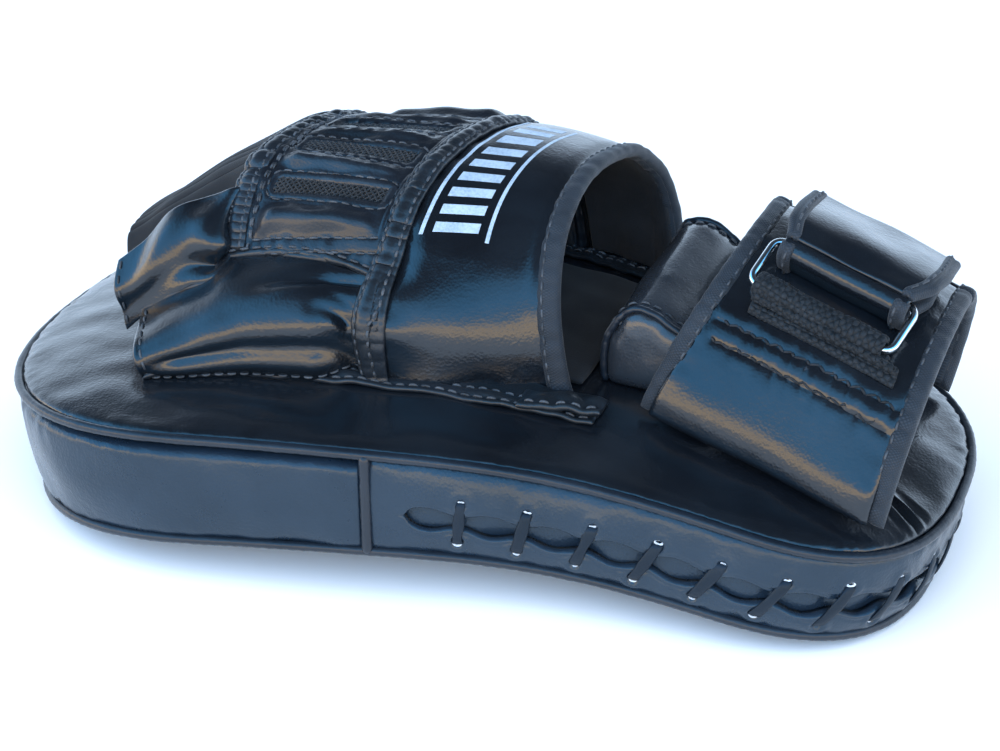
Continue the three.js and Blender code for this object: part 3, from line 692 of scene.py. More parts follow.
def maths(tree, operation, first, second=0.0):
    return add_node(tree, "ShaderNodeMath", {0: first, 1: second}, operation=operation).outputs[0]


def bump(tree, height, depth, normal=None):
    values = {"Height": height, "Distance": depth * MM, "Strength": 1.0}
    if normal is not None:
        values["Normal"] = normal
    return add_node(tree, "ShaderNodeBump", values).outputs["Normal"]


def cloth_waves(tree, pitch, turned=False):
    """A sine across the flat cloth, from 0 to 1, for weaves."""
    flat = add_node(tree, "ShaderNodeUVMap", uv_map="Cloth").outputs["UV"]
    axes = add_node(tree, "ShaderNodeSeparateXYZ", {"Vector": flat}).outputs
    scaled = maths(tree, "MULTIPLY", axes["Y" if turned else "X"], 2 * math.pi / (pitch * MM))
    return remap(tree, maths(tree, "SINE", scaled), -1, 1)


WORN_EDGE = (0.025, 0.033, 0.043)


def leather(name, dark, light, rough, grain=0.05, coat=0.35, tint=(1, 1, 1)):
    """Coated leather: fine pebbled grain, soft creases, cloudy gloss and slightly paler worn edges."""
    look, tree, shader = start_material(name)
    cloudy = remap(tree, noise(tree, 34, 4), 0.34, 0.66)
    colour = blend_colour(tree, cloudy, dark, light)
    edges = add_node(tree, "ShaderNodeNewGeometry").outputs["Pointiness"]
    wear = maths(tree, "MULTIPLY", remap(tree, edges, 0.53, 0.62), remap(tree, noise(tree, 5, 3), 0.4, 0.7))
    patches = maths(tree, "ADD", noise(tree, 18, 4), maths(tree, "MULTIPLY", noise(tree, 1.6, 2), 0.35))
    creases = bump(tree, noise(tree, 9, 3, 0.6, warp=0.6), 0.22)
    set_shader(
        tree,
        shader,
        Base_Color=blend_colour(tree, wear, colour, WORN_EDGE),
        Roughness=remap(tree, patches, 0.45, 0.9, *rough),
        Normal=bump(tree, cells(tree, 0.9), grain, normal=creases),
        IOR=1.47,
        Specular_Tint=(*tint, 1),
        Coat_Weight=coat,
        Coat_Roughness=0.11,
        Coat_IOR=1.5,
    )
    return look


def woven(name, dark, light, pitch, depth, rough=0.8, sheen=0.25):
    """Woven tape: threads crossing over and under, with a dusty sheen."""
    look, tree, shader = start_material(name)
    along, across = cloth_waves(tree, pitch), cloth_waves(tree, pitch, turned=True)
    weave = maths(tree, "ABSOLUTE", maths(tree, "SUBTRACT", along, across))
    fuzz = noise(tree, 0.5, 2)
    height = maths(tree, "ADD", weave, maths(tree, "MULTIPLY", fuzz, 0.5))
    share = remap(tree, maths(tree, "ADD", height, noise(tree, 12, 3)), 0.5, 1.9)
    set_shader(
        tree,
        shader,
        Base_Color=blend_colour(tree, share, dark, light),
        Roughness=remap(tree, fuzz, 0.3, 0.7, rough - 0.12, rough + 0.1),
        Normal=bump(tree, height, depth),
        Sheen_Weight=sheen,
        Sheen_Roughness=0.4,
        Specular_IOR_Level=0.28,
    )
    return look


def napped(name, dark, light, size, depth, rough=0.9, sheen=0.4):
    """Brushed lining, foam, or hook and loop: an uneven matt surface without a weave."""
    look, tree, shader = start_material(name)
    clouds = noise(tree, 14, 4)
    specks = noise(tree, size, 3, 0.7)
    share = remap(tree, maths(tree, "ADD", clouds, specks), 0.75, 1.25)
    set_shader(
        tree,
        shader,
        Base_Color=blend_colour(tree, share, dark, light),
        Roughness=remap(tree, specks, 0.3, 0.7, rough - 0.1, rough + 0.08),
        Normal=bump(tree, specks, depth),
        Sheen_Weight=sheen,
        Sheen_Roughness=0.5,
    )
    return look


def twisted_thread(name, dark, light, rough):
    look, tree, shader = start_material(name)
    fibres = noise(tree, 0.35, 3, 0.7)
    share = remap(tree, maths(tree, "ADD", fibres, noise(tree, 9, 2)), 0.75, 1.25)
    set_shader(
        tree,
        shader,
        Base_Color=blend_colour(tree, share, dark, light),
        Roughness=remap(tree, fibres, 0.3, 0.7, rough, rough + 0.2),
        Normal=bump(tree, fibres, 0.06),
    )
    return look


def chrome_plate(name):
    look, tree, shader = start_material(name)
    smears = noise(tree, 7, 4, 0.6)
    scratches = noise(tree, 0.6, 3, 0.7)
    share = remap(tree, smears, 0.35, 0.7)
    set_shader(
        tree,
        shader,
        Base_Color=blend_colour(tree, share, (0.78, 0.79, 0.8), (0.6, 0.62, 0.64)),
        Roughness=remap(tree, smears, 0.3, 0.7, 0.06, 0.2),
        Normal=bump(tree, scratches, 0.01),
        Metallic=1.0,
    )
    return look


def screen_print(name, pale, rubbed):
    """Pale print ink on the leather, thin and rubbed in places."""
    look, tree, shader = start_material(name)
    share = remap(tree, maths(tree, "ADD", noise(tree, 6, 4), noise(tree, 0.7, 2)), 0.85, 1.3)
    set_shader(
        tree,
        shader,
        Base_Color=blend_colour(tree, share, pale, rubbed),
        Roughness=remap(tree, noise(tree, 1.5, 3), 0.3, 0.7, 0.32, 0.5),
        Normal=bump(tree, cells(tree, 0.9), 0.03),
    )
    return look


MATERIALS = {
    "leather": leather("glossy_leather", (0.003, 0.004, 0.006), (0.006, 0.009, 0.013), (0.17, 0.27)),
    # The walls' bluer, lighter base colour is painted reflection: a lit copy of the black leather that adds to
    # the blue light the walls reflect.
    "wall_leather": leather(
        "wall_leather",
        (0.006, 0.013, 0.024),
        (0.011, 0.021, 0.036),
        (0.24, 0.36),
        grain=0.06,
        coat=0.12,
        tint=(0.8, 0.95, 1.0),
    ),
    "finger": leather(
        "finger_leather", (0.003, 0.004, 0.006), (0.006, 0.008, 0.012), (0.32, 0.44), 0.07, 0.3
    ),
    # The bolster's lighter base colour is painted sheen: a lit copy of the leather, standing in for the pale
    # gloss on the bolster's top.
    "bolster": leather(
        "sheen_painted_leather", (0.012, 0.015, 0.020), (0.020, 0.026, 0.034), (0.22, 0.34), 0.05, 0.5
    ),
    "seam": leather("seam_leather", (0.004, 0.006, 0.008), (0.009, 0.012, 0.017), (0.34, 0.5), 0.08, 0.3),
    "piping": leather(
        "piping_leather", (0.004, 0.007, 0.012), (0.009, 0.014, 0.022), (0.3, 0.42), 0.05, 0.1
    ),
    "lace": leather(
        "lace_leather", (0.003, 0.004, 0.006), (0.007, 0.009, 0.013), (0.4, 0.55), 0.05, 0.0, (0.5, 0.7, 0.9)
    ),
    # Pale rings at the lace holes: painted highlights standing in for the small white glints at the hole ends.
    "backing": napped("painted_hole_glint", (0.33, 0.37, 0.42), (0.62, 0.67, 0.72), 0.6, 0.08),
    "tape": woven("binding_tape", (0.006, 0.009, 0.013), (0.026, 0.034, 0.045), 0.8, 0.08, 0.6, 0.1),
    "webbing": woven("woven_webbing", (0.002, 0.003, 0.004), (0.015, 0.019, 0.024), 2.3, 0.35, 0.6, 0.05),
    "net": napped("vent_mesh", (0.004, 0.005, 0.006), (0.020, 0.023, 0.027), 0.5, 0.1, sheen=0.1),
    "lining": napped("lining_suede", (0.003, 0.003, 0.004), (0.011, 0.012, 0.014), 0.5, 0.12, sheen=0.05),
    "foam": napped("foam_cells", (0.06, 0.06, 0.062), (0.12, 0.12, 0.123), 0.9, 0.2, sheen=0.1),
    "loops": napped("loop_pile", (0.006, 0.007, 0.008), (0.03, 0.032, 0.035), 0.4, 0.3),
    "hooks": napped("hook_field", (0.008, 0.009, 0.010), (0.035, 0.037, 0.04), 0.7, 0.25, 0.6, 0.1),
    "thread": twisted_thread("bonded_thread", (0.008, 0.010, 0.013), (0.06, 0.07, 0.083), 0.42),
    "dark_thread": twisted_thread("dark_thread", (0.002, 0.003, 0.004), (0.016, 0.019, 0.024), 0.6),
    "chrome": chrome_plate("ring_chrome"),
    "print": screen_print("pale_print", (0.34, 0.44, 0.55), (0.2, 0.28, 0.37)),
}


# ---- Camera, lights and floor ----
def add_camera():
    azimuth, elevation, roll = (math.radians(a) for a in (CAMERA_AZIMUTH, CAMERA_ELEVATION, CAMERA_ROLL))
    back = Vector((
        math.sin(azimuth) * math.cos(elevation),
        -math.cos(azimuth) * math.cos(elevation),
        math.sin(elevation),
    ))
    level = Vector((math.cos(azimuth), math.sin(azimuth), 0))
    above = back.cross(level)
    right = level * math.cos(roll) + above * math.sin(roll)
    up = back.cross(right)
    camera = bpy.data.objects.new("camera", bpy.data.cameras.new("camera"))
    camera.data.lens = LENS
    camera.data.sensor_width = 36
    camera.data.clip_start = 0.01
    turned = Matrix((right, up, back)).transposed().to_4x4()
    camera.matrix_world = Matrix.Translation(CAMERA_PLACE) @ turned
    bpy.context.scene.collection.objects.link(camera)
    bpy.context.scene.camera = camera


# Colour of the room by height (the sine of the elevation), as it shows in the gloss.
ROOM_STRENGTH = 4.4
NEAR_ROOM = (
    (-1.0, (0.26, 0.29, 0.32)),
    (-0.12, (0.28, 0.30, 0.32)),
    (-0.05, (1.00, 0.78, 0.52)),
    (0.18, (0.95, 0.74, 0.50)),
    (0.25, (0.12, 0.32, 0.58)),
    (0.45, (0.10, 0.38, 0.76)),
    (0.72, (0.07, 0.24, 0.45)),
    (0.84, (0.012, 0.016, 0.022)),
    (0.97, (0.010, 0.013, 0.017)),
)
FAR_ROOM = (
    (-1.0, (0.26, 0.29, 0.32)),
    (0.02, (0.32, 0.41, 0.52)),
    (0.30, (0.29, 0.37, 0.47)),
    (0.42, (0.17, 0.215, 0.275)),
    (0.53, (0.045, 0.056, 0.072)),
    (0.72, (0.022, 0.028, 0.036)),
    (0.90, (0.010, 0.013, 0.017)),
)
BACKDROP = (1.0, 1.0, 1.0)


def height_ramp(tree, height, stops):
    ramp = add_node(tree, "ShaderNodeValToRGB", {"Fac": height})
    elements = ramp.color_ramp.elements
    while len(elements) < len(stops):
        elements.new(0.5)
    for element, (level, colour) in zip(elements, stops):
        element.position = (level + 1) / 2
        element.color = (*colour, 1)
    return ramp.outputs["Color"]


def add_room():
    """A soft studio: a blue softbox over a warm low one on the near side, and a pale one on the far side."""
    world = bpy.data.worlds.new("studio")
    bpy.context.scene.world = world
    world.use_nodes = True
    tree = world.node_tree
    tree.nodes.clear()
    heading = add_node(tree, "ShaderNodeTexCoord").outputs["Generated"]
    axes = add_node(tree, "ShaderNodeSeparateXYZ", {"Vector": heading}).outputs
    height = remap(tree, axes["Z"], -1, 1)
    near, far = height_ramp(tree, height, NEAR_ROOM), height_ramp(tree, height, FAR_ROOM)
    colour = blend_colour(tree, remap(tree, axes["Y"], -0.12, 0.3), near, far)
    room = add_node(tree, "ShaderNodeBackground", {"Color": colour, "Strength": ROOM_STRENGTH})
    plain = add_node(tree, "ShaderNodeBackground", {"Color": (*BACKDROP, 1), "Strength": 1.0})
    seen = add_node(tree, "ShaderNodeLightPath").outputs["Is Camera Ray"]
    mix = add_node(tree, "ShaderNodeMixShader", {0: seen, 1: room.outputs[0], 2: plain.outputs[0]})
    add_node(tree, "ShaderNodeOutputWorld", {"Surface": mix.outputs[0]})


def add_lamp():
    lamp = bpy.data.lights.new("overhead", "SUN")
    lamp.energy = 3.6
    lamp.angle = math.radians(80)
    lamp.color = (1.0, 0.97, 0.96)
    holder = bpy.data.objects.new("overhead", lamp)
    holder.rotation_euler = (math.radians(36), math.radians(8), 0)
    holder.visible_glossy = False
    bpy.context.scene.collection.objects.link(holder)


def add_floor():
    look, tree, shader = start_material("floor_paper")
    share = remap(tree, noise(tree, 400, 2), 0.3, 0.7)
    paper = blend_colour(tree, share, (0.88, 0.90, 0.91), (0.91, 0.92, 0.93))
    set_shader(tree, shader, Base_Color=paper, Roughness=0.85)
    half = 4.0
    mesh = bpy.data.meshes.new("floor")
    corners = [(-half, -half, 0), (half, -half, 0), (half, half, 0), (-half, half, 0)]
    mesh.from_pydata(corners, [], [(0, 1, 2, 3)])
    mesh.materials.append(look)
    floor = bpy.data.objects.new("floor", mesh)
    bpy.context.scene.collection.objects.link(floor)


bpy.context.scene.view_settings.view_transform = "Standard"
add_camera()
add_room()
add_lamp()
add_floor()


# ---- Pad ----
SEAM_ANGLE = outline_angle(SIDE_SEAM_X)
TOP_INSET = 2 * PIPING - 0.4 + GAP
SPINE = 0.62


def wrist_outline():
    """Outline angles and distances along it, from the near side seam round the wrist end to the far one."""
    angles = np.arange(SEAM_ANGLE, 360 - SEAM_ANGLE, 0.5)
    places = outline_at(angles, np.zeros(len(angles)))
    steps = np.linalg.norm(np.diff(places, axis=0), axis=1)
    return angles, np.concatenate([[0], np.cumsum(steps)])


WRIST_ANGLES, WRIST_LENGTHS = wrist_outline()
WRIST_RUN = WRIST_LENGTHS[-1]


def wrist_wall(run, z, inset=0.0):
    angle = np.interp(run, WRIST_LENGTHS, WRIST_ANGLES)
    place_2d = outline_at(angle, np.broadcast_to(inset, np.shape(angle)))
    return bend(place_2d[..., 0], place_2d[..., 1], z)


def slot_height(run):
    rise = np.exp(-np.minimum(run, WRIST_RUN - run) / SLOT_LIFT_RUN)
    return lerp(FINGER_THICKNESS, WRIST_THICKNESS, 0.75) * SLOT_MIDDLE + SLOT_LIFT * rise


def lace_stations():
    first = LACE_START + SLOT_START
    count = 2 * int((WRIST_RUN / 2 - first) / LACE_SPACING) + 2
    return np.linspace(first, WRIST_RUN - first, count)


LACES = lace_stations()


def slot_half(run):
    """Half the slot's width: open between the laces, pinched at them, round at both ends."""
    spacing = LACES[1] - LACES[0]
    beat = np.abs(np.cos(np.pi * (run - LACES[0]) / spacing))
    past_laces = np.maximum(LACES[0] - run, run - LACES[-1]) > spacing / 2
    inside = np.minimum(run - SLOT_START, WRIST_RUN - SLOT_START - run)
    wide = lerp(SLOT_WIDE, SLOT_PINCHED, np.where(past_laces, 0, beat**2.2))
    round_end = np.clip(inside / 6, 0, 1)
    return wide * np.sqrt(1 - (1 - round_end) ** 2)


def lace_lean(run):
    """How far a lace's top hole is from its middle along the wall: more with every loop from the seam."""
    from_end = np.minimum(run, WRIST_RUN - run) / LACE_SPACING - 1
    return LACE_SLANT * np.clip(from_end, 0, 4) * np.sign(WRIST_RUN / 2 - run)


def edge_tucks(run, distance, seed):
    """Small gathers where the leather turns into a seam."""
    gathers = ripples(run, distance * 0.4, 6.5, seed)
    return -1.1 * np.exp(-distance / 1.1) + 0.22 * gathers * np.exp(-distance / 4)


def add_finger_wall():
    def flat_wall(angle, share):
        spot = outline_at(angle, np.zeros(np.shape(angle)))
        low, high = 2.2, wall_height(spot[..., 0]) - 2.2
        return bend(spot[..., 0], spot[..., 1], lerp(low, high, share))

    def relief(angle, share):
        height = share * FINGER_THICKNESS
        run = angle * 2.3
        to_seam = np.minimum(angle + SEAM_ANGLE, SEAM_ANGLE - angle) * 2.3
        edges = edge_tucks(run, height, 3) + edge_tucks(run, FINGER_THICKNESS - 4 - height, 4)
        seam = -1.2 * np.exp(-np.maximum(to_seam, 0) / 1.8)
        belly = 1.0 * np.sin(np.pi * np.clip(share, 0, 1)) ** 0.8
        return belly + edges + seam + 0.3 * ripples(run, height, 30, 5)

    flat_wall.steps = (0.3, 0.005)
    skin = lifted(flat_wall, relief)
    edge = SEAM_ANGLE - 0.5
    round_span = (-edge, edge)
    piece = slab("finger_wall_skin", "wall_leather", skin, round_span, (0, 1), (300, 36), 1.0, offset=-1.0)
    place(piece, "glossy_leather", ["finger_end_gusset"])


def add_wrist_wall():
    """The wall with its laced slot: rows of points run beside the slot, and no faces cross it."""
    runs = np.linspace(0.9, WRIST_RUN - 0.9, 520)
    closeness = np.sort(1 - np.linspace(0, 1, 17) ** 1.6)
    middle, half = slot_height(runs), slot_half(runs)
    spots = outline_at(np.interp(runs, WRIST_LENGTHS, WRIST_ANGLES), np.zeros(len(runs)))
    top = wall_height(spots[:, 0]) - 2.2
    lower = lerp(2.2, (middle - half)[:, None], closeness)
    upper = lerp(top[:, None], (middle + half)[:, None], closeness)[:, ::-1]
    z = np.concatenate([lower, upper], axis=1)
    to_slot = np.concatenate([(middle - half)[:, None] - lower, upper - (middle + half)[:, None]], axis=1)
    run = np.broadcast_to(runs[:, None], z.shape)
    spacing = LACES[1] - LACES[0]
    inside = smooth(np.minimum(run - SLOT_START, WRIST_RUN - SLOT_START - run) / 5 + 0.6)
    beat = np.cos(2 * np.pi * (run - LACES[0]) / spacing)
    from_low, from_top = z - 2.2, top[:, None] - z
    to_seam = np.minimum(run, WRIST_RUN - run)
    share = np.clip(from_low / (from_low + from_top), 0, 1)
    rise = 0.8 * np.sin(np.pi * share) ** 0.8
    rise += edge_tucks(run, from_low, 6) + edge_tucks(run, from_top, 7) - 1.2 * np.exp(-to_seam / 1.8)
    rise += inside * (0.35 - 0.25 * beat) * np.exp(-((to_slot / 4.5) ** 2))
    rise -= inside * (1.2 * np.exp(-to_slot / 0.5) + 0.3 * bell(to_slot - 1.6, 0.45))
    rise -= 2.2 * np.clip(1 - from_top / 9, 0, 1) ** 2 * bell(run - 50, 42)
    rise += 0.3 * ripples(run, z, 28, 8)
    for station in LACES:
        height = slot_height(station)
        for side in (-1, 1):
            away = np.hypot(run - station - side * lace_lean(station), z - height - side * HOLE_REACH)
            rise -= 1.6 * bell(away, 1.3) - 0.5 * bell(away - 2.6, 1.2)
    outer = wrist_wall(run, z, -rise)
    columns = z.shape[1]
    index = np.arange(z.size).reshape(z.shape)
    quads = grid_faces(index)
    crossing = (np.arange(len(quads)) % (columns - 1)) == columns // 2 - 1
    open_row = np.repeat((half[:-1] + half[1:]) / 2 > 0.05, columns - 1)
    quads = quads[~(crossing & open_row)]
    inner = wrist_wall(run, z, -rise + 1.8)
    solid = close_layers(outer, inner, quads)
    piece = build_mesh("wrist_wall_skin", "wall_leather", *solid)
    weld(piece, 0.02)
    place(piece, "glossy_leather", ["wrist_end_gusset"])


def close_layers(outer, inner, quads):
    """The closed mesh of two layers with the same faces, walled along every open edge."""
    count = outer.reshape(-1, 3).shape[0]
    edges = {}
    for face in quads.tolist():
        for i in range(4):
            a, b = face[i], face[(i + 1) % 4]
            edges[(a, b)] = edges.get((a, b), 0) + 1
    walls = [[b, a, a + count, b + count] for (a, b) in edges if (b, a) not in edges]
    points = np.concatenate([outer.reshape(-1, 3), inner.reshape(-1, 3)])
    faces = quads.tolist() + (quads[:, ::-1] + count).tolist() + walls
    return points, faces


def weld(piece, distance):
    shape = bmesh.new()
    shape.from_mesh(piece.data)
    bmesh.ops.remove_doubles(shape, verts=shape.verts, dist=distance * MM)
    bmesh.ops.dissolve_degenerate(shape, edges=shape.edges, dist=1e-7)
    bmesh.ops.recalc_face_normals(shape, faces=shape.faces)
    shape.to_mesh(piece.data)
    shape.free()
    piece.data.shade_smooth()


def disc(name, look, inset, height_at, thickness, steps=(360, 46)):
    """A closed panel of the pad's outline: rings of points from the edge in to a spine along the middle."""
    angles = np.arange(steps[0]) * 360 / steps[0]
    edge = outline_at(angles, np.full(steps[0], inset))
    spine = np.stack([edge[:, 0] * SPINE, np.zeros(steps[0])], axis=-1)
    share = np.concatenate([np.linspace(0, 0.08, 9)[:-1], np.linspace(0.08, 1, steps[1])])
    flat = lerp(edge[:, None], spine[:, None], share[None, :, None])
    reach = np.linalg.norm(spine - edge, axis=1)[:, None] * share
    x, y = flat[..., 0], flat[..., 1]
    top = height_at(x, y, reach, np.broadcast_to(angles[:, None], x.shape))
    upper, lower = bend(x, y, top), bend(x, y, top - thickness)
    rows, columns = x.shape
    index = np.arange(rows * columns).reshape(rows, columns)
    quads = grid_faces(np.concatenate([index, index[:1]]))
    piece = build_mesh(name, look, *close_layers(upper, lower, quads))
    weld(piece, 0.02)
    return piece


CREASE_X, CREASE_Y = 133, -28


def back_height(x, y, reach, angles):
    """The back's height: a soft crown, gathers at the piped edge, and creases beside the cuff."""
    run = angles * 2.4
    ends = np.exp(-np.minimum(HALF_LENGTH - x, HALF_LENGTH + x) / 26)
    gathers = 0.22 * ripples(run, reach * 0.3, 5.5, 11) * np.exp(-reach / 3.5) * (0.6 + 1.6 * ends)
    swell = 0.35 * ripples(x, y, 46, 12) + 0.15 * ripples(x, y, 15, 13)
    along = (x - CREASE_X) * 0.85 - (y - CREASE_Y) * 0.52
    across = (x - CREASE_X) * 0.52 + (y - CREASE_Y) * 0.85
    creases = 2.1 * np.sin(across * 1.3) * bell(across, 4.5) * bell(along, 7)
    level = wall_height(x) + crown(x, y) - 1.0 * np.exp(-reach / 1.2)
    return level + gathers + swell * smooth(reach / 8) + creases


EDGE_STEPS = 520


def edge_route(height_at):
    angles = np.arange(EDGE_STEPS) * 360 / EDGE_STEPS
    spots = outline_at(angles, np.full(EDGE_STEPS, PIPING - 0.8))
    return bend(spots[:, 0], spots[:, 1], height_at(spots[:, 0]))


def piping_radius(route, size):
    """A piping's radius, gathered a little at every stitch."""
    run = run_along(route)
    return size * (1 + 0.035 * np.sin(run * 2 * np.pi / 3.4) + 0.03 * ripples(run, 0, 9, 14))


def side_cord(side):
    spot = outline_at(np.array(side * SEAM_ANGLE), np.array(0.2))
    z = np.linspace(2 * PIPING - 0.4, wall_height(spot[0]) - 2 * PIPING + 0.4, 34)
    route = bend(np.full(34, spot[0]), np.full(34, spot[1]), z)
    return cord_arrays(route, piping_radius(route, 1.7), sides=14)


def add_pad_cords():
    for name, height, node in (
        ("top_piping", lambda x: wall_height(x) - PIPING, "top_edge_piping"),
        ("bottom_piping", lambda x: np.full(np.shape(x), PIPING), "bottom_edge_piping"),
    ):
        route = edge_route(height)
        piece = cord(name, "piping", route, piping_radius(route, PIPING), sides=14, closed=True)
        place(piece, "piping_cord", [node])
    for side, name in ((1, "near"), (-1, "far")):
        piece = build_parts(name + "_wall_piping", "piping", [side_cord(side)])
        place(piece, "piping_cord", [name + "_side_piping"])


def add_tongue():
    start = 4.0

    def tongue(run, share):
        low, high = 5.4, 21.5
        return wrist_wall(run, lerp(low, high, share), 2.8 + 0.35 * ripples(run, share * 16, 14, 15))

    span = (start, WRIST_RUN - start)
    piece = slab("tongue_leather", "wall_leather", tongue, span, (0, 1), (260, 14), 0.7)
    place(piece, "glossy_leather", ["lace_tongue"])


def add_lace():
    """One flat lace: up across the slot outside, in at the top hole, down inside to the next bottom hole."""
    outside, inside = -1.3, 4.6
    knots = []
    for run in LACES:
        middle = slot_height(run)
        low, high = middle - HOLE_REACH, middle + HOLE_REACH
        for z, depth in (
            (low + 0.3, inside), (low - 0.2, 0.6), (low + 0.7, outside + 0.5), (low + 3, outside - 0.1),
            (middle, outside - 0.35), (high - 3, outside - 0.1), (high - 0.7, outside + 0.5),
            (high + 0.2, 0.6), (high - 0.3, inside),
        ):
            knots.append((run + lace_lean(run) * (z - middle) / HOLE_REACH, z, depth))
    line = curve(np.array(knots))(np.linspace(0, 1, len(knots) * 7))
    route = wrist_wall(line[:, 0], line[:, 1], line[:, 2])
    step = 0.6
    ahead, behind = (wrist_wall(line[:, 0] + away, line[:, 1], line[:, 2]) for away in (step, -step))
    side = unit(ahead - behind)
    tangent = unit(np.gradient(route, axis=0))
    up = unit(np.cross(side, tangent))
    width = LACE_WIDTH / 2 * (0.86 + 0.1 * ripples(line[:, 1], line[:, 0], 7, 16))
    piece = cord("lace_thong", "lace", route, width, height=0.5, up=up, sides=12, power=2.6)
    place(piece, "lace_cord", ["lace"])
    # Pale rings at both ends of every lace hole: painted highlights for the white glints there.
    rims = []
    turn = np.linspace(0, 2 * np.pi, 15)[:-1]
    for k, run in enumerate(LACES):
        for side_sign, beyond, inset in ((-1, 0.5, 0.3), (1, 1.1, -0.2)):
            z = slot_height(run) + side_sign * (HOLE_REACH + beyond)
            centre = run + side_sign * lace_lean(run) + 0.3 * math.sin(k * 2.1)
            around = wrist_wall(centre + 1.2 * np.cos(turn), z + 0.8 * np.sin(turn), inset)
            rims.append(cord_arrays(around, 0.36, sides=7, closed=True))
    place(build_parts("lace_hole_glint_rims", "backing", rims), "glossy_leather")


def add_pad():
    back = disc("back_panel_skin", "leather", TOP_INSET - 0.8, back_height, 1.8)
    place(back, "glossy_leather", ["back_cover"])

    def strike_height(x, y, reach, angles):
        return 1.9 + 0.5 * np.exp(-reach / 1.5)

    strike = disc("strike_panel_skin", "leather", TOP_INSET - 0.8, strike_height, 1.9, (300, 20))
    place(strike, "glossy_leather", ["strike_face_cover"])
    add_finger_wall()
    add_wrist_wall()
    add_pad_cords()
    add_tongue()
    add_lace()


# ---- Strips and lining on the back ----
def add_near_strip():
    x0, x1 = -82, 46

    def strip(u, v):
        x = lerp(x0, x1, u)
        outer = lerp(-68, -43.5, np.maximum(u, 0) ** 0.64)
        y = outer + lerp(11.5, 14.5, u) * v + 0.3 * ripples(x, v * 4, 17, 21)
        return on_back(x, y, crown(x, y) + 1.3)

    def relief(u, v):
        width = lerp(9.5, 13, u)
        from_outer = v * width
        dips = 0.5 * bell(from_outer - 1.9, 0.9) + 0.5 * bell(from_outer - 5.2, 0.9)
        return 0.35 * ripples(u * 128, from_outer, 8, 22) + 0.5 * bell(from_outer - 3.5, 1.3) - dips

    skin = lifted(on_unit(strip), relief)
    piece = slab("near_strip_leather", "seam", skin, (0, 1), (0, 1), (260, 24), 0.9)
    place(piece, "seam_tape", ["near_base_strip"])
    share = np.linspace(0.01, 0.99, 400)
    rows = []
    for k, outer in enumerate((1.9, 5.2)):
        row = row_on(skin, share, outer / lerp(9.5, 13, share), 0.95)
        rows.append(running_stitches(row, thread=0.42, seed=30 + k))
    sew("stitches_near_strip", rows)

    def fold(u, v):
        x = lerp(24, 47.5, u)
        outer = lerp(-68, -43.5, ((x - x0) / (x1 - x0)) ** 0.64)
        y = outer + lerp(0.2, 8.5, v) + 0.4 * ripples(x, v * 6, 9, 23)
        height = crown(x, y) + 2.2 + 2.0 * smooth(u * 1.6)
        return on_back(x, y, height + 0.45 * ripples(x, y, 6, 24))

    on_unit(fold)
    folded = slab("near_strip_folded_end", "seam", fold, (0, 1), (0, 1), (60, 26), 1.1)
    place(folded, "seam_tape")
    edge = np.linspace(0.05, 0.97, 90)
    sew("stitches_folded_end", [running_stitches(row_on(fold, edge, 0.22, 1.15), thread=0.42, seed=33)])


def add_far_strip():
    def strip(u, v):
        x = lerp(-72, 40, u)
        y = lerp(77, 66, u * np.abs(u)) - 10 * (1 - v) + 0.3 * ripples(x, v * 4, 17, 25)
        return on_back(x, y, crown(x, y) + 1.3)

    def relief(u, v):
        return 0.35 * ripples(u * 112, v * 10, 8, 26) - 0.4 * bell((v - 0.8) * 10, 0.9)

    skin = lifted(on_unit(strip), relief)
    piece = slab("far_strip_leather", "seam", skin, (0, 1), (0, 1), (200, 18), 0.9)
    place(piece, "seam_tape", ["far_base_strip"])
    share = np.linspace(0.01, 0.99, 300)
    rows = [running_stitches(row_on(skin, share, v, 0.95), seed=35) for v in (0.45, 0.8)]
    sew("stitches_far_strip", rows)


def add_palm_panel():
    def panel(u, v):
        x = lerp(-70, 36, u)
        y = lerp(lerp(-34, -24, u), lerp(58, 50, u), v)
        return on_back(x, y, crown(x, y) + 1.3 + 0.3 * ripples(x, y, 19, 27))

    piece = slab("palm_lining", "lining", panel, (0, 1), (0, 1), (80, 64), 0.8)
    place(piece, "lining_cloth", ["palm_panel"])
    declare_sheet(piece)


# ---- Hand cover ----
COVER_START = KNUCKLE_X + BAND_WIDTH / 2 - 0.6


def hand_relief(u, v):
    share = (u - COVER_START) / (OPENING_X - COVER_START)
    belly = 0.9 * np.sin(np.pi * np.clip(share, 0, 1))
    seam = -0.9 * bell(u - COVER_START, 2.4) - 0.7 * bell(u - OPENING_X + 4.5, 2.2)
    foot = np.exp(-np.minimum(v, 180 - v) / 7.0)
    buckle = 1.0 * ripples(u, v * 1.2, 17, 41) * foot
    gathers = 0.3 * ripples(v * 1.2, u * 0.3, 7, 42) * bell(u - COVER_START, 5)
    shoulder = 2.4 * bell(v - 33, 12) * smooth(share * 5) * np.clip(1.15 - share, 0, 1)
    return belly + seam + buckle + gathers + shoulder + 0.45 * ripples(u, v * 1.2, 44, 43)


def foot_reach(v):
    """How far the cover goes past its seam near the strip, over the end of the thumb sleeve."""
    return FOOT_REACH * np.clip(1 - v / FOOT_TOP, 0, 1) ** 0.9


def swell_at(v):
    """How far the cover's corner stands out over the end of the thumb sleeve."""
    bulge = FOOT_BULGE * np.sin(np.pi * np.clip(v / BULGE_TOP, 0, 1)) ** 2
    return FOOT_FLARE * smooth(1 - v / FOOT_TOP) + bulge


def past_seam(u, v, share, lift=0.0):
    """The hand's arch near the strip, moved towards the fingers and swollen out over the thumb sleeve."""
    station = u - share * foot_reach(v)
    swell = share * swell_at(v) + lift
    return hand(station, v) + normal_of(hand, station, v) * swell[..., None]


def hand_sewn(u, v):
    share = np.clip((OPENING_X - u) / (OPENING_X - COVER_START), 0, 1)
    return past_seam(u, v, share**1.5)


hand_skin = lifted(hand_sewn, hand_relief)


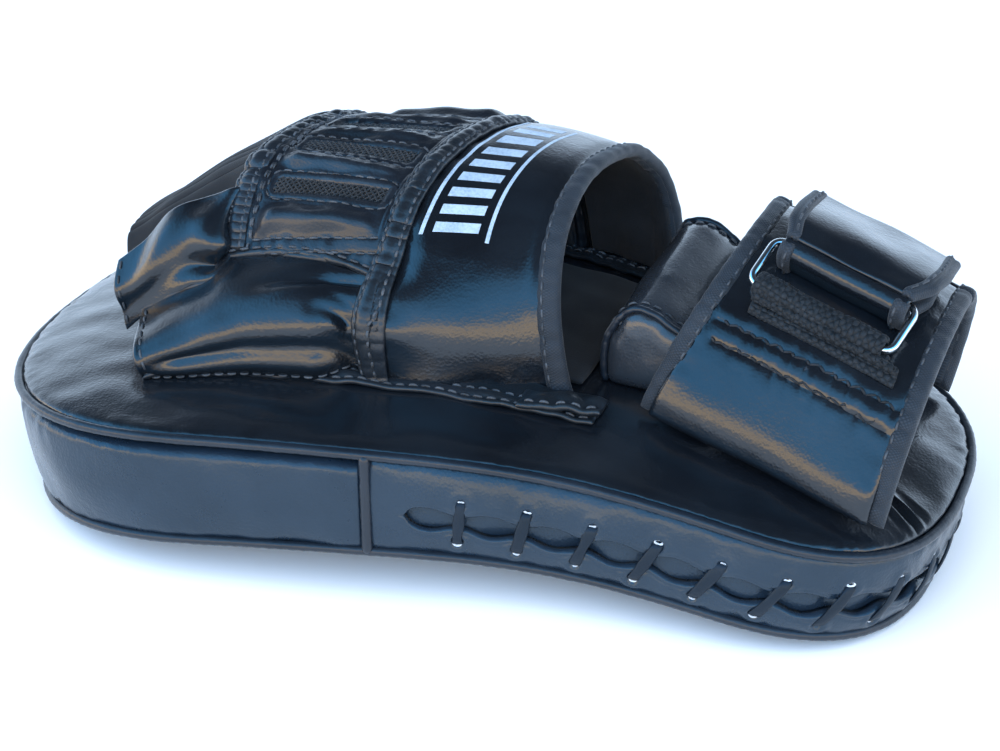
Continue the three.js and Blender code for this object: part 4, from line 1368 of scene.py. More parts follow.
def add_hand_cover():
    half = COVER / 2 - 0.2
    span = (COVER_START, OPENING_X)
    piece = slab("hand_cover_leather", "leather", hand_skin, span, (0.5, 179.5), (70, 250), half)
    place(piece, "glossy_leather", ["hand_cover"])
    declare_sheet(piece)
    span = (COVER_START + 1, OPENING_X - 1)
    lining = slab("hand_cover_lining", "lining", hand_skin, span, (2, 178), (20, 120), 0.5, offset=-1.7)
    place(lining, "lining_cloth")
    declare_sheet(lining)
    add_opening_binding()
    add_print()


def add_opening_binding():
    """Woven tape folded over the edge of the wrist opening, with one row of stitches."""
    start, end = OPENING_X - 3.6, OPENING_X + 2.4

    def relief(u, v):
        roll = 0.5 * bell(u - end + 2.2, 1.9) - 0.45 * bell(u - start - 1.5, 0.8)
        return roll + 0.2 * ripples(u * 0.5, v * 1.2, 7, 44)

    skin = lifted(hand_skin, relief)
    piece = slab("opening_binding_tape", "tape", skin, (start, end), (0.5, 179.5), (14, 250), 2.1, edge=1.9)
    place(piece, "binding_tape", ["hand_cover_binding"])
    sweep = np.linspace(3, 177, 500)
    row = row_on(skin, start + 1.5, sweep, 2.05)
    sew("stitches_opening", [running_stitches(row, seed=45)], slot="binding_tape")


PRINT_BARS = 9
PRINT_FIRST, PRINT_LAST = 47, 103
PRINT_U = (5.2, 16.4)


def add_print():
    """A generic printed mark: slanted pale bars up the cover between two thin lines."""
    ink, lift = 0.06, COVER / 2 - 0.2 + 0.03
    bars = []
    low, high = PRINT_U
    for k in range(PRINT_BARS):
        centre = lerp(PRINT_FIRST, PRINT_LAST, k / (PRINT_BARS - 1))

        def bar(u, v, centre=centre):
            return hand_skin(u, centre + v + 0.16 * (u - low))

        bars.append(slab("bar", "print", bar, (low, high), (-1.9, 1.9), (16, 8), ink, offset=lift))
    line_span = (PRINT_FIRST - 3, PRINT_LAST + 5)
    for u in (low - 2.6, high + 2.6):
        u_span = (u - 0.5, u + 0.5)
        bars.append(slab("line", "print", hand_skin, u_span, line_span, (3, 90), ink, offset=lift))
    place(join_pieces("printed_bars", bars), "glossy_leather")


def join_pieces(name, pieces):
    """Several mesh objects as one piece."""
    with bpy.context.temp_override(active_object=pieces[0], selected_editable_objects=pieces):
        bpy.ops.object.join()
    pieces[0].name = name
    return pieces[0]


def knuckle_line(u, v):
    """The middle of the knuckle seam, which crosses onto the thumb sleeve near the strip."""
    return past_seam(u, v, 1.0)


def add_band(name, node, arch, middle, start_angle, seed, pucker):
    """A leather tape over a seam: two rows of heavy stitches with a gathered ridge between them."""
    half = BAND_WIDTH / 2 + 0.3
    row_at = 1.9

    def relief(u, v):
        across = u - middle
        rows = bell(np.abs(across) - row_at, 0.75)
        ridge = bell(across, 1.1)
        gathers = ripples(v * 1.25, across * 0.25, 4.2, seed)
        big = ripples(v * 1.2, across * 0.5, 15, seed + 1)
        return 0.55 * ridge - 0.55 * rows + 0.2 * gathers + pucker(v) * big

    skin = lifted(arch, relief)
    across_span, round_span = (middle - half, middle + half), (start_angle, 179.5)
    piece = slab(name, "seam", skin, across_span, round_span, (26, 300), 1.25, offset=0.9)
    place(piece, "seam_tape", [node])
    sweep = np.linspace(start_angle + 1, 178, 700)
    rows = []
    for k, side in enumerate((-1, 1)):
        row = row_on(skin, middle + side * row_at, sweep, 2.15)
        rows.append(running_stitches(row, pitch=3.5, length=2.6, thread=0.46, seed=seed + 2 + k))
    sew("stitches_" + name, rows)


# ---- Finger cover ----
FRAME_LEFT, FRAME_RIGHT = -48.6, KNUCKLE_X - BAND_WIDTH / 2 - 1.2
TRIM_LOW = 30.5
FRAME_TOP = 150


def arc_lengths():
    sweep = np.linspace(0, 180, 721)
    return sweep, run_along(hand(np.full(721, -28.0), sweep))


ARC_ANGLES, ARC_LENGTHS = arc_lengths()


def arc(degrees):
    """Millimetres round the finger cover from its near foot."""
    return np.interp(degrees, ARC_ANGLES, ARC_LENGTHS)


def vent_centre(index, u):
    along = (u - VENT_START) / (VENT_END - VENT_START)
    return VENT_ANGLES[index] + VENT_FAN[index] * (0.5 - along)


def from_vent(u, v):
    """Distance from the nearest vent's rim: below 0 inside it."""
    middle, half = (VENT_START + VENT_END) / 2, (VENT_END - VENT_START) / 2
    nearest = np.full(np.shape(u), 99.0)
    for index in range(len(VENT_ANGLES)):
        along = np.abs(u - middle) - half + VENT_CORNER
        across = np.abs(arc(v) - arc(vent_centre(index, u))) - VENT_HALF_WIDTH + VENT_CORNER
        outside = np.hypot(np.maximum(along, 0), np.maximum(across, 0))
        distance = outside + np.minimum(np.maximum(along, across), 0) - VENT_CORNER
        nearest = np.minimum(nearest, distance)
    return nearest


def frame_low(u):
    return lerp(35.0, 41.0, (u - FRAME_LEFT) / (FRAME_RIGHT - FRAME_LEFT))


def from_frame(u, v):
    """Distance inwards from the stitched frame round all the ridges."""
    sides = np.minimum(u - FRAME_LEFT, FRAME_RIGHT - u)
    low = arc(v) - arc(frame_low(u))
    return np.minimum(np.minimum(sides, low), arc(FRAME_TOP) - arc(v))


def finger_relief(u, v):
    """Padded ridges between the vents, flat stitched rims round them and a flat double-stitched frame."""
    vent, border = from_vent(u, v), from_frame(u, v)
    ridges = 3.1 * smooth((vent - 2.6) / 5.5) * smooth((border - 0.6) / 6.5)
    rims = 0.35 * smooth((vent + 0.6) / 0.6) - 0.4 * bell(vent - 1.5, 0.6)
    hollow = -1.7 * smooth(-vent / 0.9)
    frame_rows = -0.35 * bell(border, 0.7) - 0.35 * bell(border + 4.3, 0.7)
    crumple = 0.35 * ripples(u, arc(v), 11, 51) * smooth(vent / 3) + 0.5 * ripples(u, arc(v), 30, 52)
    edge = 0.3 * ripples(u, arc(v) * 0.5, 6, 53) * bell(arc(v) - arc(TRIM_LOW), 6)
    return ridges + rims + hollow + frame_rows + crumple + edge


finger_skin = lifted(hand, finger_relief)


def add_finger_cover():
    end = KNUCKLE_X - BAND_WIDTH / 2 + 0.6
    span, round_span = (FINGER_COVER_X - 1.6, end), (TRIM_LOW, 179.5)
    piece = slab("finger_cover_leather", "finger", finger_skin, span, round_span, (88, 250), COVER / 2)
    place(piece, "glossy_leather", ["finger_cover"])
    span, round_span = (FINGER_COVER_X + 1, end - 1), (TRIM_LOW + 2, 178)
    lining = slab("finger_cover_lining", "lining", lifted(hand, -2.6), span, round_span, (24, 110), 0.4)
    place(lining, "lining_cloth")
    declare_sheet(lining)
    add_finger_stitches()
    for index in range(len(VENT_ANGLES)):
        add_vent(index)
    add_trim_cord()


def add_finger_stitches():
    rows = []
    middle, half = (VENT_START + VENT_END) / 2, (VENT_END - VENT_START) / 2
    for index in range(len(VENT_ANGLES)):
        out = 1.5
        turn = np.linspace(0, 2 * np.pi, 240)
        corner = VENT_CORNER + out
        u = middle + np.clip(1.6 * half * np.cos(turn), -half - out + corner, half + out - corner)
        u = u + corner * np.cos(turn)
        low, high = corner - out - VENT_HALF_WIDTH, VENT_HALF_WIDTH + out - corner
        side = np.clip(1.9 * VENT_HALF_WIDTH * np.sin(turn), low, high)
        across = arc(vent_centre(index, u)) + side + corner * np.sin(turn)
        v = np.interp(across, ARC_LENGTHS, ARC_ANGLES)
        rows.append(running_stitches(row_on(finger_skin, u, v, COVER / 2 + 0.05), seed=54 + index))
    for k, back in enumerate((0.0, 4.3)):
        left, right = FRAME_LEFT - back * 0.18, KNUCKLE_X - BAND_WIDTH / 2
        u = np.linspace(left, right, 160)
        v = np.interp(arc(frame_low(u)) - back, ARC_LENGTHS, ARC_ANGLES)
        rows.append(running_stitches(row_on(finger_skin, u, v, COVER / 2 + 0.05), thread=0.42, seed=60 + k))
        side_row = row_on(finger_skin, left, np.linspace(v[0], FRAME_TOP, 300), COVER / 2 + 0.05)
        rows.append(running_stitches(side_row, thread=0.42, seed=62 + k))
    sew("stitches_finger_cover", rows)


def add_vent(index):
    """Coarse netting over a dark backing, sunk in the vent."""
    floor = lifted(hand, -0.5)
    start, end = VENT_START + 0.6, VENT_END - 0.6

    def net(u, side):
        across = arc(vent_centre(index, u)) + side
        return floor(u, np.interp(across, ARC_LENGTHS, ARC_ANGLES))

    reach = VENT_HALF_WIDTH - 0.3
    number, spans = index + 1, ((start, end), (-reach, reach))
    backing = slab("vent_backing_%d" % number, "net", net, *spans, (60, 14), 0.4, offset=0.15)
    place(backing, "vent_mesh", ["mesh_vent_%d" % number])
    strands = []
    pitch, steps = 1.9, 12
    count = int((end - start + 2 * reach) / pitch)
    for slant in (-1, 1):
        for k in range(count):
            share = np.linspace(-1, 1, steps)
            side = share * reach
            u = start - reach + k * pitch + slant * side
            keep = (u > start) & (u < end)
            if keep.sum() < 4:
                continue
            lift = 0.75 + 0.16 * slant * np.cos(np.pi * side / pitch * 2) + 0.25 * (1 - share**2)
            row = row_on(net, u[keep], side[keep])
            strands.append(cord_arrays(row[:, :3] + row[:, 3:] * lift[keep][:, None], 0.3, sides=6))
    place(build_parts("vent_net_%d" % number, "net", strands), "vent_mesh")


def add_trim_cord():
    """The rolled lower edge of the finger cover, along the thumb seam."""
    u = np.linspace(FINGER_COVER_X - 6, KNUCKLE_X - 4, 120)
    v = trim_angle(u)
    row = row_on(hand, u, v, 0.6)
    run = run_along(row[:, :3])
    radius = 1.35 + 0.16 * ripples(run, 0, 5, 64)
    place(cord("finger_trim_roll", "seam", row[:, :3], radius, sides=14), "seam_tape")
    sew("stitches_trim", [running_stitches(row_on(hand, u, v + 1.6, 1.7), thread=0.42, seed=65)])


# ---- Pocket end, at the fingers ----
POCKET_START = FINGER_COVER_X - BAND_WIDTH - 0.4
NEAR_PANEL_UPPER = (
    (-69, -23.5, 49.0), (-77, -26, 47), (-85, -29.5, 42.5), (-93, -34, 34.5), (-101, -37.5, 28),
)
NEAR_PANEL_LOWER = (
    (-69, -41.5, 24), (-77, -42.5, 20.5), (-86, -43, 16.5), (-94, -43, 12), (-100.5, -41.5, 7.2),
)


def hand_knot(station, degrees, lift=0.0):
    return row_on(hand, np.array([float(station)]), np.array([float(degrees)]), lift)[0, :3]


def pocket_edge(degrees, spots):
    """A line from the band at the finger end through spots over the back."""
    return np.stack([hand_knot(POCKET_START + 2, degrees, -0.6)] + [on_back(*spot) for spot in spots])


def add_near_panel():
    """The soft side of the finger pocket, held along the band and the thumb seam, folding to their corner."""
    upper = pocket_edge(57, NEAR_PANEL_UPPER)
    lower = pocket_edge(31, NEAR_PANEL_LOWER)
    belly = np.array([0, 2.5, 4.5, 5.5, 5.0, 3.5])[:, None] * np.array([0, -1.0, 0.15])
    middle = lerp(upper, lower, 0.5) + belly
    shoulder = lerp(upper, middle, 0.55) + belly * 0.35
    base = patch(np.stack([upper, shoulder, middle, lerp(middle, lower, 0.5), lower], axis=1))

    def relief(u, v):
        fan = np.arctan2(0.92 - v, u + 0.06)
        strength = np.exp(-((u - 0.22) / 0.28) ** 2)
        folds = 2.3 * np.sin(fan * 7.5 + 0.6) * strength * smooth(v * 4)
        hem = 0.5 * bell((1 - u) * 40, 1.6)
        return folds + 0.7 * ripples(u * 45, v * 30, 17, 71) + hem

    skin = lifted(on_unit(base), relief)
    piece = slab("finger_near_side", "leather", skin, (0, 1), (0, 1), (90, 70), 0.8)
    place(piece, "glossy_leather", ["finger_near_panel"])
    declare_sheet(piece)
    sweep = np.linspace(0.03, 0.97, 120)
    rows = [running_stitches(row_on(skin, 0.965, sweep, 0.8), seed=72)]
    sew("stitches_near_side", rows)


def add_far_panel():
    upper = pocket_edge(127, ((-74, 50, 44), (-84, 52, 33)))
    lower = pocket_edge(176, ((-70, 73, 8), (-79, 71, 7)))
    middle = lerp(upper, lower, 0.5) + np.array([[0, 6, 3], [0, 7, 3], [0, 5, 2]])
    base = on_unit(patch(np.stack([upper, middle, lower], axis=1)))
    skin = lifted(base, lambda u, v: ripples(u * 26, v * 50, 15, 73))
    piece = slab("finger_far_side", "leather", skin, (0, 1), (0, 1), (60, 90), 0.8)
    place(piece, "glossy_leather", ["finger_far_panel"])
    declare_sheet(piece)


def add_flap():
    """A padded flap over the fingertips: suede below, leather above, with its near edge turned down."""

    def base(u, v):
        station = POCKET_START + 1.5 - 47 * u
        degrees = lerp(lerp(61, 66, u), lerp(124, 113, u), v)
        beyond = np.maximum(0, POCKET_START - station)
        share = (station - KNUCKLE_X) / (OPENING_X - KNUCKLE_X)
        arch = {key: k - f * share for key, (k, _, f) in HAND.items()}
        y, height = arch_point(arch, HAND_POWER, degrees)
        yaw = np.tan(np.radians(arch["yaw"])) * (y - arch["centre"])
        lean = np.tan(np.radians(arch["lean"])) * height
        turned = 6.5 * np.exp(-np.maximum(v, 0) * 60 / 4.0)
        return on_back(station + yaw - lean, y * (1 - 0.002 * beyond), height - 0.55 * beyond - turned)

    def relief(u, v):
        ridges = sum(0.45 * bell((v - place) * 60, 1.1) for place in (0.13, 0.23, 0.33, 0.87))
        return ridges + 0.5 * ripples(u * 47, v * 60, 24, 74)

    skin = lifted(on_unit(base), relief)
    lining = slab("finger_flap_lining", "lining", skin, (0, 1), (0, 1), (80, 90), 0.9, offset=-1.1)
    place(lining, "lining_cloth", ["finger_top_flap"])
    declare_sheet(lining)
    cover = slab("finger_flap_leather", "finger", skin, (0, 0.985), (0.1, 0.985), (80, 90), 0.75, offset=0.7)
    place(cover, "glossy_leather")
    declare_sheet(cover)
    sweep = np.linspace(0.02, 0.97, 200)
    rows = [running_stitches(row_on(skin, sweep, v, 1.4), seed=75) for v in (0.125, 0.95)]
    rows.append(running_stitches(row_on(skin, 0.95, sweep * 0.8 + 0.12, 1.4), seed=76))
    sew("stitches_flap", rows)


# ---- Thumb sleeve ----
THUMB_OPEN_SEAM = ((-93, -43, 14), (-86, -42.8, 18), (-79, -42.3, 21.5), (-70, -41.5, 25.5))
THUMB_FOOT = np.array([(-84, -63.5, 2.2), (-7, -46.5, 2.2)])
THUMB_STATIONS = (-75, 2, -80, 3)
THUMB_TUCK = 2.6
THUMB_TUCK_START, THUMB_TUCK_RUN = 0.64, 0.19
THUMB_SIDE_RISE, THUMB_OVER_SHARE = 0.82, 0.66


def thumb_seam_knots():
    """The seam's open end, then its run along the finger cover's lower edge, under the rolled trim."""
    u = np.array([-57, -47, -36, -25, -14, -5, 3])
    trim = hand(u, trim_angle(u) - 1.0)
    return np.concatenate([on_back(*np.array(THUMB_OPEN_SEAM).T), trim])


def trim_angle(u):
    share = np.clip((u + 56) / 52, 0, 1)
    return 28.6 + 4.2 * np.sin(np.pi * share)


THUMB_SEAM = thumb_seam_knots()


def thumb_base(u, v):
    """From the foot strip, v 0, over the thumb to its seam, v 1; u runs from the open end to the knuckles."""
    seam = curve(THUMB_SEAM)(u)
    share = np.asarray(u, float)[..., None]
    low = on_back(*np.moveaxis(lerp(THUMB_FOOT[0], THUMB_FOOT[1], share), -1, 0))
    rise = seam[..., 2:] - low[..., 2:]
    outside = low + np.array([0, -7.5, 0]) + rise * np.array([0, 0, THUMB_SIDE_RISE])
    over = lerp(seam, outside, THUMB_OVER_SHARE)
    over[..., 2:] = seam[..., 2:] - rise * lerp(0.02, 0.10, smooth(share * 3))
    t = np.clip(v, -0.05, 1.05)[..., None]
    free = (1 - t) ** 3 * low + 3 * (1 - t) ** 2 * t * outside + 3 * (1 - t) * t**2 * over + t**3 * seam
    foot_start, foot_end, seam_start, seam_end = THUMB_STATIONS
    station = lerp(lerp(foot_start, foot_end, u), lerp(seam_start, seam_end, u), v)
    angle = np.clip(lerp(2.0, trim_angle(station) - 1, v), 0.5, 179)
    tucked = past_seam(station, angle, 0.0, swell_at(angle) - THUMB_TUCK)
    return lerp(free, tucked, smooth((u - THUMB_TUCK_START) / THUMB_TUCK_RUN)[..., None])


def thumb_relief(u, v):
    """A slack sleeve: a long low roll above the foot and one slanting fold towards the knuckle seam."""
    run, round_it = u * 88, v * 54
    roll = 1.5 * bell(round_it - 5.5, 3.0) * smooth(u * 6) * smooth((0.84 - u) * 5)
    hollow = -0.9 * bell(round_it - 11.5, 3.6) * smooth(u * 5) * smooth((0.86 - u) * 5)
    slant = round_it - 43 - 0.30 * (run - 60)
    fold = -2.4 * bell(slant, 3.6) * bell(run - 62, 13) + 1.0 * bell(slant + 8, 6) * bell(run - 60, 16)
    gathers = 0.35 * ripples(round_it, run * 0.25, 9, 81) * bell(66 - run, 7)
    mouth = 0.4 * bell(run, 2.0)
    return roll + hollow + fold + gathers + mouth + 0.35 * ripples(run, round_it, 46, 82)


def add_thumb():
    skin = lifted(on_unit(thumb_base), thumb_relief)
    piece = slab("thumb_sleeve_leather", "leather", skin, (0, 0.985), (0, 1), (170, 110), 1.0)
    place(piece, "glossy_leather", ["thumb_sleeve"])
    declare_sheet(piece)
    inner_spans = ((0.012, 0.98), (0.02, 0.95))
    lining = slab("thumb_sleeve_lining", "lining", skin, *inner_spans, (70, 60), 0.45, offset=-1.5)
    place(lining, "lining_cloth")
    declare_sheet(lining)
    share = np.linspace(0.0, 0.42, 110)
    route = curve(THUMB_SEAM)(share) + np.array([0, 0, 0.4])
    radius = 1.3 + 0.14 * ripples(share * 50, 0, 5, 83)
    place(cord("thumb_seam_roll", "piping", route, radius, sides=14), "piping_cord", ["thumb_seam_piping"])
    sweep = np.linspace(0.02, 0.95, 140)
    rows = [running_stitches(row_on(skin, 0.03, sweep, 1.0), seed=84)]
    rows.append(running_stitches(row_on(skin, np.linspace(0.03, 0.97, 200), 0.055, 1.0), seed=85))
    sew("stitches_thumb", rows)


# ---- Wrist bolster ----
BOLSTER_VOXEL = 4.0
BOLSTER_START_INSET = -0.8
BOLSTER_CAP = 4.5
BOLSTER_PRESSURE = 4.0
CLOTH_FRAMES = 20
LEATHER_CLOTH = {
    "quality": 6,
    "mass": 0.06,
    "tension_stiffness": 9,
    "compression_stiffness": 8,
    "bending_stiffness": 0.6,
}


def bolster_section(y, inset):
    """The outline across the bolster, which stands a little higher towards its far end."""
    x0, x1 = BOLSTER_X0, BOLSTER_X1
    height = BOLSTER_HEIGHT + 5 * (y - BOLSTER_Y0) / (BOLSTER_Y1 - BOLSTER_Y0)
    corners = (
        (x0 + inset, BOLSTER_FOOT - 2),
        (x0 + inset, height * 0.55),
        (x0 + 3 + inset * 0.7, height - 5 - inset * 0.4),
        (x0 + 9, height - inset),
        (lerp(x0, x1, 0.6), lerp(height, BOLSTER_LOW, 0.35) - inset),
        (x1 - inset, BOLSTER_LOW - inset),
        (x1 - inset, BOLSTER_FOOT - 2),
    )
    return np.stack([on_back(x, y, level) for x, level in corners])


def select_only(piece):
    bpy.ops.object.select_all(action="DESELECT")
    piece.select_set(True)
    bpy.context.view_layer.objects.active = piece


def coordinates(mesh):
    flat = np.zeros(len(mesh.vertices) * 3, np.float32)
    mesh.vertices.foreach_get("co", flat)
    return flat.reshape(-1, 3).astype(float)


def inflate(piece, voxel, pressure, cap, pinned):
    """Remeshes a closed piece and inflates it as cloth; pinned points are held, and none moves past cap."""
    select_only(piece)
    remesh = piece.modifiers.new("remesh", "REMESH")
    remesh.mode = "VOXEL"
    remesh.voxel_size = voxel * MM
    bpy.ops.object.modifier_apply(modifier=remesh.name)
    start = coordinates(piece.data)
    held = piece.vertex_groups.new(name="held")
    held.add([int(i) for i in np.flatnonzero(pinned(start))], 1.0, "REPLACE")
    cloth = piece.modifiers.new("cloth", "CLOTH")
    for setting, value in LEATHER_CLOTH.items():
        setattr(cloth.settings, setting, value)
    cloth.settings.use_pressure = True
    cloth.settings.uniform_pressure_force = pressure
    cloth.settings.vertex_group_mass = held.name
    cloth.settings.effector_weights.gravity = 0
    scene = bpy.context.scene
    for number in range(1, CLOTH_FRAMES + 1):
        scene.frame_set(number)
    bpy.ops.object.modifier_apply(modifier=cloth.name)
    scene.frame_set(1)
    moved = coordinates(piece.data) - start
    far = np.linalg.norm(moved, axis=1, keepdims=True)
    moved *= np.minimum(1, cap * MM / np.maximum(far, 1e-9))
    piece.data.vertices.foreach_set("co", (start + moved).astype(np.float32).ravel())
    piece.vertex_groups.clear()
    smoothing = piece.modifiers.new("subdivision", "SUBSURF")
    smoothing.levels = 1
    smoothing.render_levels = 1
    bpy.ops.object.modifier_apply(modifier=smoothing.name)
    piece.data.shade_smooth()


def seam_on(tree, route):
    """A route laid on a mesh: each point moves to the nearest place on its surface."""
    places, normals = [], []
    for point in route:
        spot, normal, _, _ = tree.find_nearest(Vector((point + SHIFT) * MM))
        places.append(np.array(spot) / MM - SHIFT)
        normals.append(np.array(normal))
    return np.stack(places), np.stack(normals)


def add_bolster():
    inset = BOLSTER_START_INSET
    low, high = BOLSTER_Y0 - 1.0, BOLSTER_Y1 + 1.0
    sections = [bolster_section(y, inset) for y in np.linspace(low, high, 9)]
    count = len(sections[0])
    index = np.arange(9 * count).reshape(9, count)
    index = np.concatenate([index, index[:, :1]], axis=1)
    faces = grid_faces(index).tolist()
    faces.append(index[0, :-1].tolist()[::-1])
    faces.append(index[-1, :-1].tolist())
    piece = new_piece("bolster_leather", ["bolster"], np.concatenate(sections), faces)
    weld(piece, 0.01)
    foot = (on_back(lerp(BOLSTER_X0, BOLSTER_X1, 0.5), 0, BOLSTER_FOOT)[2] + SHIFT[2]) * MM
    inflate(piece, BOLSTER_VOXEL, BOLSTER_PRESSURE, BOLSTER_CAP, lambda at: at[:, 2] < foot)
    tree = BVHTree.FromObject(piece, bpy.context.evaluated_depsgraph_get())
    seams = []
    for y in (low + 1.6, high - 1.6):
        outline = curve(bolster_section(y, inset * 0.3)[:-1])(np.linspace(0.0, 1.0, 110))
        seams.append(seam_on(tree, outline))
    gather_at_seams(piece, [places for places, _ in seams])
    place(piece, "glossy_leather", ["bolster_cover", "bolster_near_end", "bolster_far_end"])
    cords, rows = [], []
    for k, (places, normals) in enumerate(seams):
        places = smooth_route(places, 4)
        cords.append(cord_arrays(places + normals * 0.25, piping_radius(places, 1.15), sides=12))
        inwards = np.array([0, 3.0 if k == 0 else -3.0, 0])
        beside, beside_normals = seam_on(tree, places + inwards)
        row = np.concatenate([beside + beside_normals * 0.1, beside_normals], axis=1)
        rows.append(running_stitches(row, thread=0.34, seed=91 + k))
    place(build_parts("bolster_piping", "piping", cords), "piping_cord")
    sew("stitches_bolster", rows)


def smooth_route(route, passes):
    for _ in range(passes):
        middle = (route[:-2] + 2 * route[1:-1] + route[2:]) / 4
        route = np.concatenate([route[:1], middle, route[-1:]])
    return route


def gather_at_seams(piece, seams):
    """Pulls the leather in along its end seams, with small gathers running away from them."""
    mesh = piece.data
    at = coordinates(mesh) / MM - SHIFT
    normals = np.zeros(len(mesh.vertices) * 3, np.float32)
    mesh.vertices.foreach_get("normal", normals)
    rise = 0.25 * waves(at, 26, 93)
    for seam in seams:
        distance = np.min(np.linalg.norm(at[:, None] - seam[None, ::2], axis=-1), axis=1)
        gathers = 0.4 * waves(at * [1, 0.25, 1], 8, 94) * np.exp(-distance / 5)
        rise += -1.0 * np.exp(-distance / 1.8) + gathers
    moved = at + normals.reshape(-1, 3) * rise[:, None]
    mesh.vertices.foreach_set("co", ((moved + SHIFT) * MM).astype(np.float32).ravel())
    mesh.update()


# ---- Wrist cuff ----
ZIGZAG_ROWS = ((39.6, 73, 122), (32.2, 70.6, 118.5))
ZIGZAG_REACH = 1.2
CUFF_MM_PER_DEGREE = 0.95


def wing_edges(v):
    """Where the wing's leather ends, a little under its two bindings."""
    return cuff_left(v) + BINDING - 1.5, cuff_right(v) - BINDING + 1.5


def wing_x(u, v):
    return lerp(*wing_edges(v), u)


def wing_surface(u, v):
    """The cuff between its two bindings: u from 0 to 1 across them, v in degrees."""
    return cuff(wing_x(u, v), v)


wing_surface.steps = (0.004, 0.15)


def near_wing_relief(u, v):
    x, run = wing_x(u, v), v * CUFF_MM_PER_DEGREE
    share = np.clip(u, 0, 1)
    padding = 1.2 * np.sin(np.pi * share) ** 0.6
    first, second = (row[0] * CUFF_MM_PER_DEGREE for row in ZIGZAG_ROWS)
    sewn = smooth((x - 69) / 3) * smooth((124 - x) / 3)
    dips = -0.55 * (bell(run - first, 1.9) + bell(run - second, 1.9)) * sewn
    raised = 0.3 * smooth((run - second + 1) / 3) * smooth((50 * CUFF_MM_PER_DEGREE - run) / 4) * sewn
    bulge = 1.1 * bell(x - 119, 6) * bell(run - 37, 7)
    crease = 2.8 * bell(run - 5, 12)
    gathers = 0.25 * ripples(run, x * 0.2, 8, 101) * np.exp(-np.minimum(share, 1 - share) * 60 / 5)
    puckers = 0.28 * ripples(x, run * 0.3, 5, 102) * (bell(run - first, 4) + bell(run - second, 4)) * sewn
    return padding + dips + raised + bulge + crease + gathers + puckers + 0.3 * ripples(x, run, 40, 103)


def far_wing_relief(u, v):
    run = v * CUFF_MM_PER_DEGREE
    padding = 1.2 * np.sin(np.pi * np.clip(u, 0, 1)) ** 0.6
    return padding + 0.6 * ripples(wing_x(u, v), run, 26, 104) - 1.0 * bell(run - 163, 4)


def add_wing(side, relief, start, end, seed):
    skin = lifted(wing_surface, relief)
    name = side + "_wing"
    span = (start, end)
    piece = slab(name + "_leather", ("leather", "lining"), skin, (0, 1), span, (110, 200), WING / 2 - 0.4)
    place(piece, "glossy_leather", ["cuff_" + name])
    rows = []
    edges = (
        ("left", lambda u, v: cuff(cuff_left(v) + u, v), BINDING - 1.0, 2.4),
        ("right", lambda u, v: cuff(cuff_right(v) - BINDING - 0.8 + u, v), 1.8, BINDING - 1.6),
    )
    for edge, surface, row_at, roll_at in edges:

        def tape_relief(u, v, row_at=row_at, roll_at=roll_at):
            gathers = 0.16 * ripples(u * 0.4, v, 6, seed + 1)
            return 0.35 * bell(u - roll_at, 2.0) - 0.5 * bell(u - row_at, 0.7) + gathers

        tape = lifted(surface, tape_relief)
        tape_name, half = "%s_%s_tape" % (name, edge), WING / 2 + 0.35
        tape_piece = slab(tape_name, "tape", tape, (0.0, BINDING + 0.8), span, (18, 220), half, edge=2.2)
        place(tape_piece, "binding_tape", ["cuff_%s_%s_binding" % (name, edge)])
        sweep = np.linspace(min(span) + 2, max(span) - 2, 500)
        row = row_on(tape, row_at, sweep, half)
        rows.append(running_stitches(row, pitch=4.2, length=3.0, thread=0.4, seed=seed + 2))
    sew("stitches_" + name, rows, slot="binding_tape")
    return skin


def add_zigzag(skin):
    rows = []
    for k, (degrees, x0, x1) in enumerate(ZIGZAG_ROWS):

        def across(share, x0=x0, x1=x1, degrees=degrees):
            left, right = wing_edges(degrees)
            return np.clip((lerp(x0, x1, share) - left) / (right - left), 0, 1)

        def level(share, degrees=degrees):
            return degrees + 0.8 * share

        def raised(u, v):
            return skin(u, v) + normal_of(skin, u, v) * (WING / 2 - 0.42)

        raised.steps = skin.steps
        reach = ZIGZAG_REACH / CUFF_MM_PER_DEGREE
        rows.append(zigzag_stitches(raised, across, level, reach, 2.2, 0.36, 105 + k))
    sew("stitches_zigzag", rows, look="dark_thread")


# ---- Ring, webbing, strap and tail ----
def ring_route():
    route = []
    steps = 10
    c = RING_CORNER
    for a, b, start in (
        (RING_LENGTH - c, c, -90),
        (RING_LENGTH - c, RING_HEIGHT - c, 0),
        (c, RING_HEIGHT - c, 90),
        (c, c, 180),
    ):
        turn = np.radians(np.linspace(start, start + 90, steps))
        route.append(in_ring(a + c * np.cos(turn), b + c * np.sin(turn), np.zeros(steps)))
    corners = np.concatenate(route)
    closed = np.concatenate([corners, corners[:1]])
    return resample(closed, np.linspace(0, run_along(closed)[-1], 160)[:-1])


def add_ring():
    ring = cord("chrome_ring", "chrome", ring_route(), RING_WIRE, sides=20, closed=True)
    place(ring, "ring_chrome", ["strap_ring"], "ring")


def fold_point(x, turn, radius):
    """A place on the fold round the ring's upper bar: a flat front between two rounded edges."""
    across, out = np.cos(np.radians(turn)), np.sin(np.radians(turn))
    squared = (np.abs(across) ** FOLD_POWER + np.abs(out) ** FOLD_POWER) ** (-1 / FOLD_POWER)
    return in_ring(x - RING_LOW_X, RING_HEIGHT - radius * across * squared, radius * out * squared)


STRAP_COLUMNS = 14


def strap_patch(x0, x1, line, passes, count):
    """A smooth surface through the same line at every x: u runs along the line and v across the strap."""
    lines = []
    for x in np.linspace(x0, x1, STRAP_COLUMNS):
        route = line(x)
        route = resample(route, np.linspace(0, run_along(route)[-1], count))
        lines.append(smooth_route(route, passes))
    surface = patch(np.stack(lines, axis=1))
    surface.steps = UNIT_STEPS
    return surface


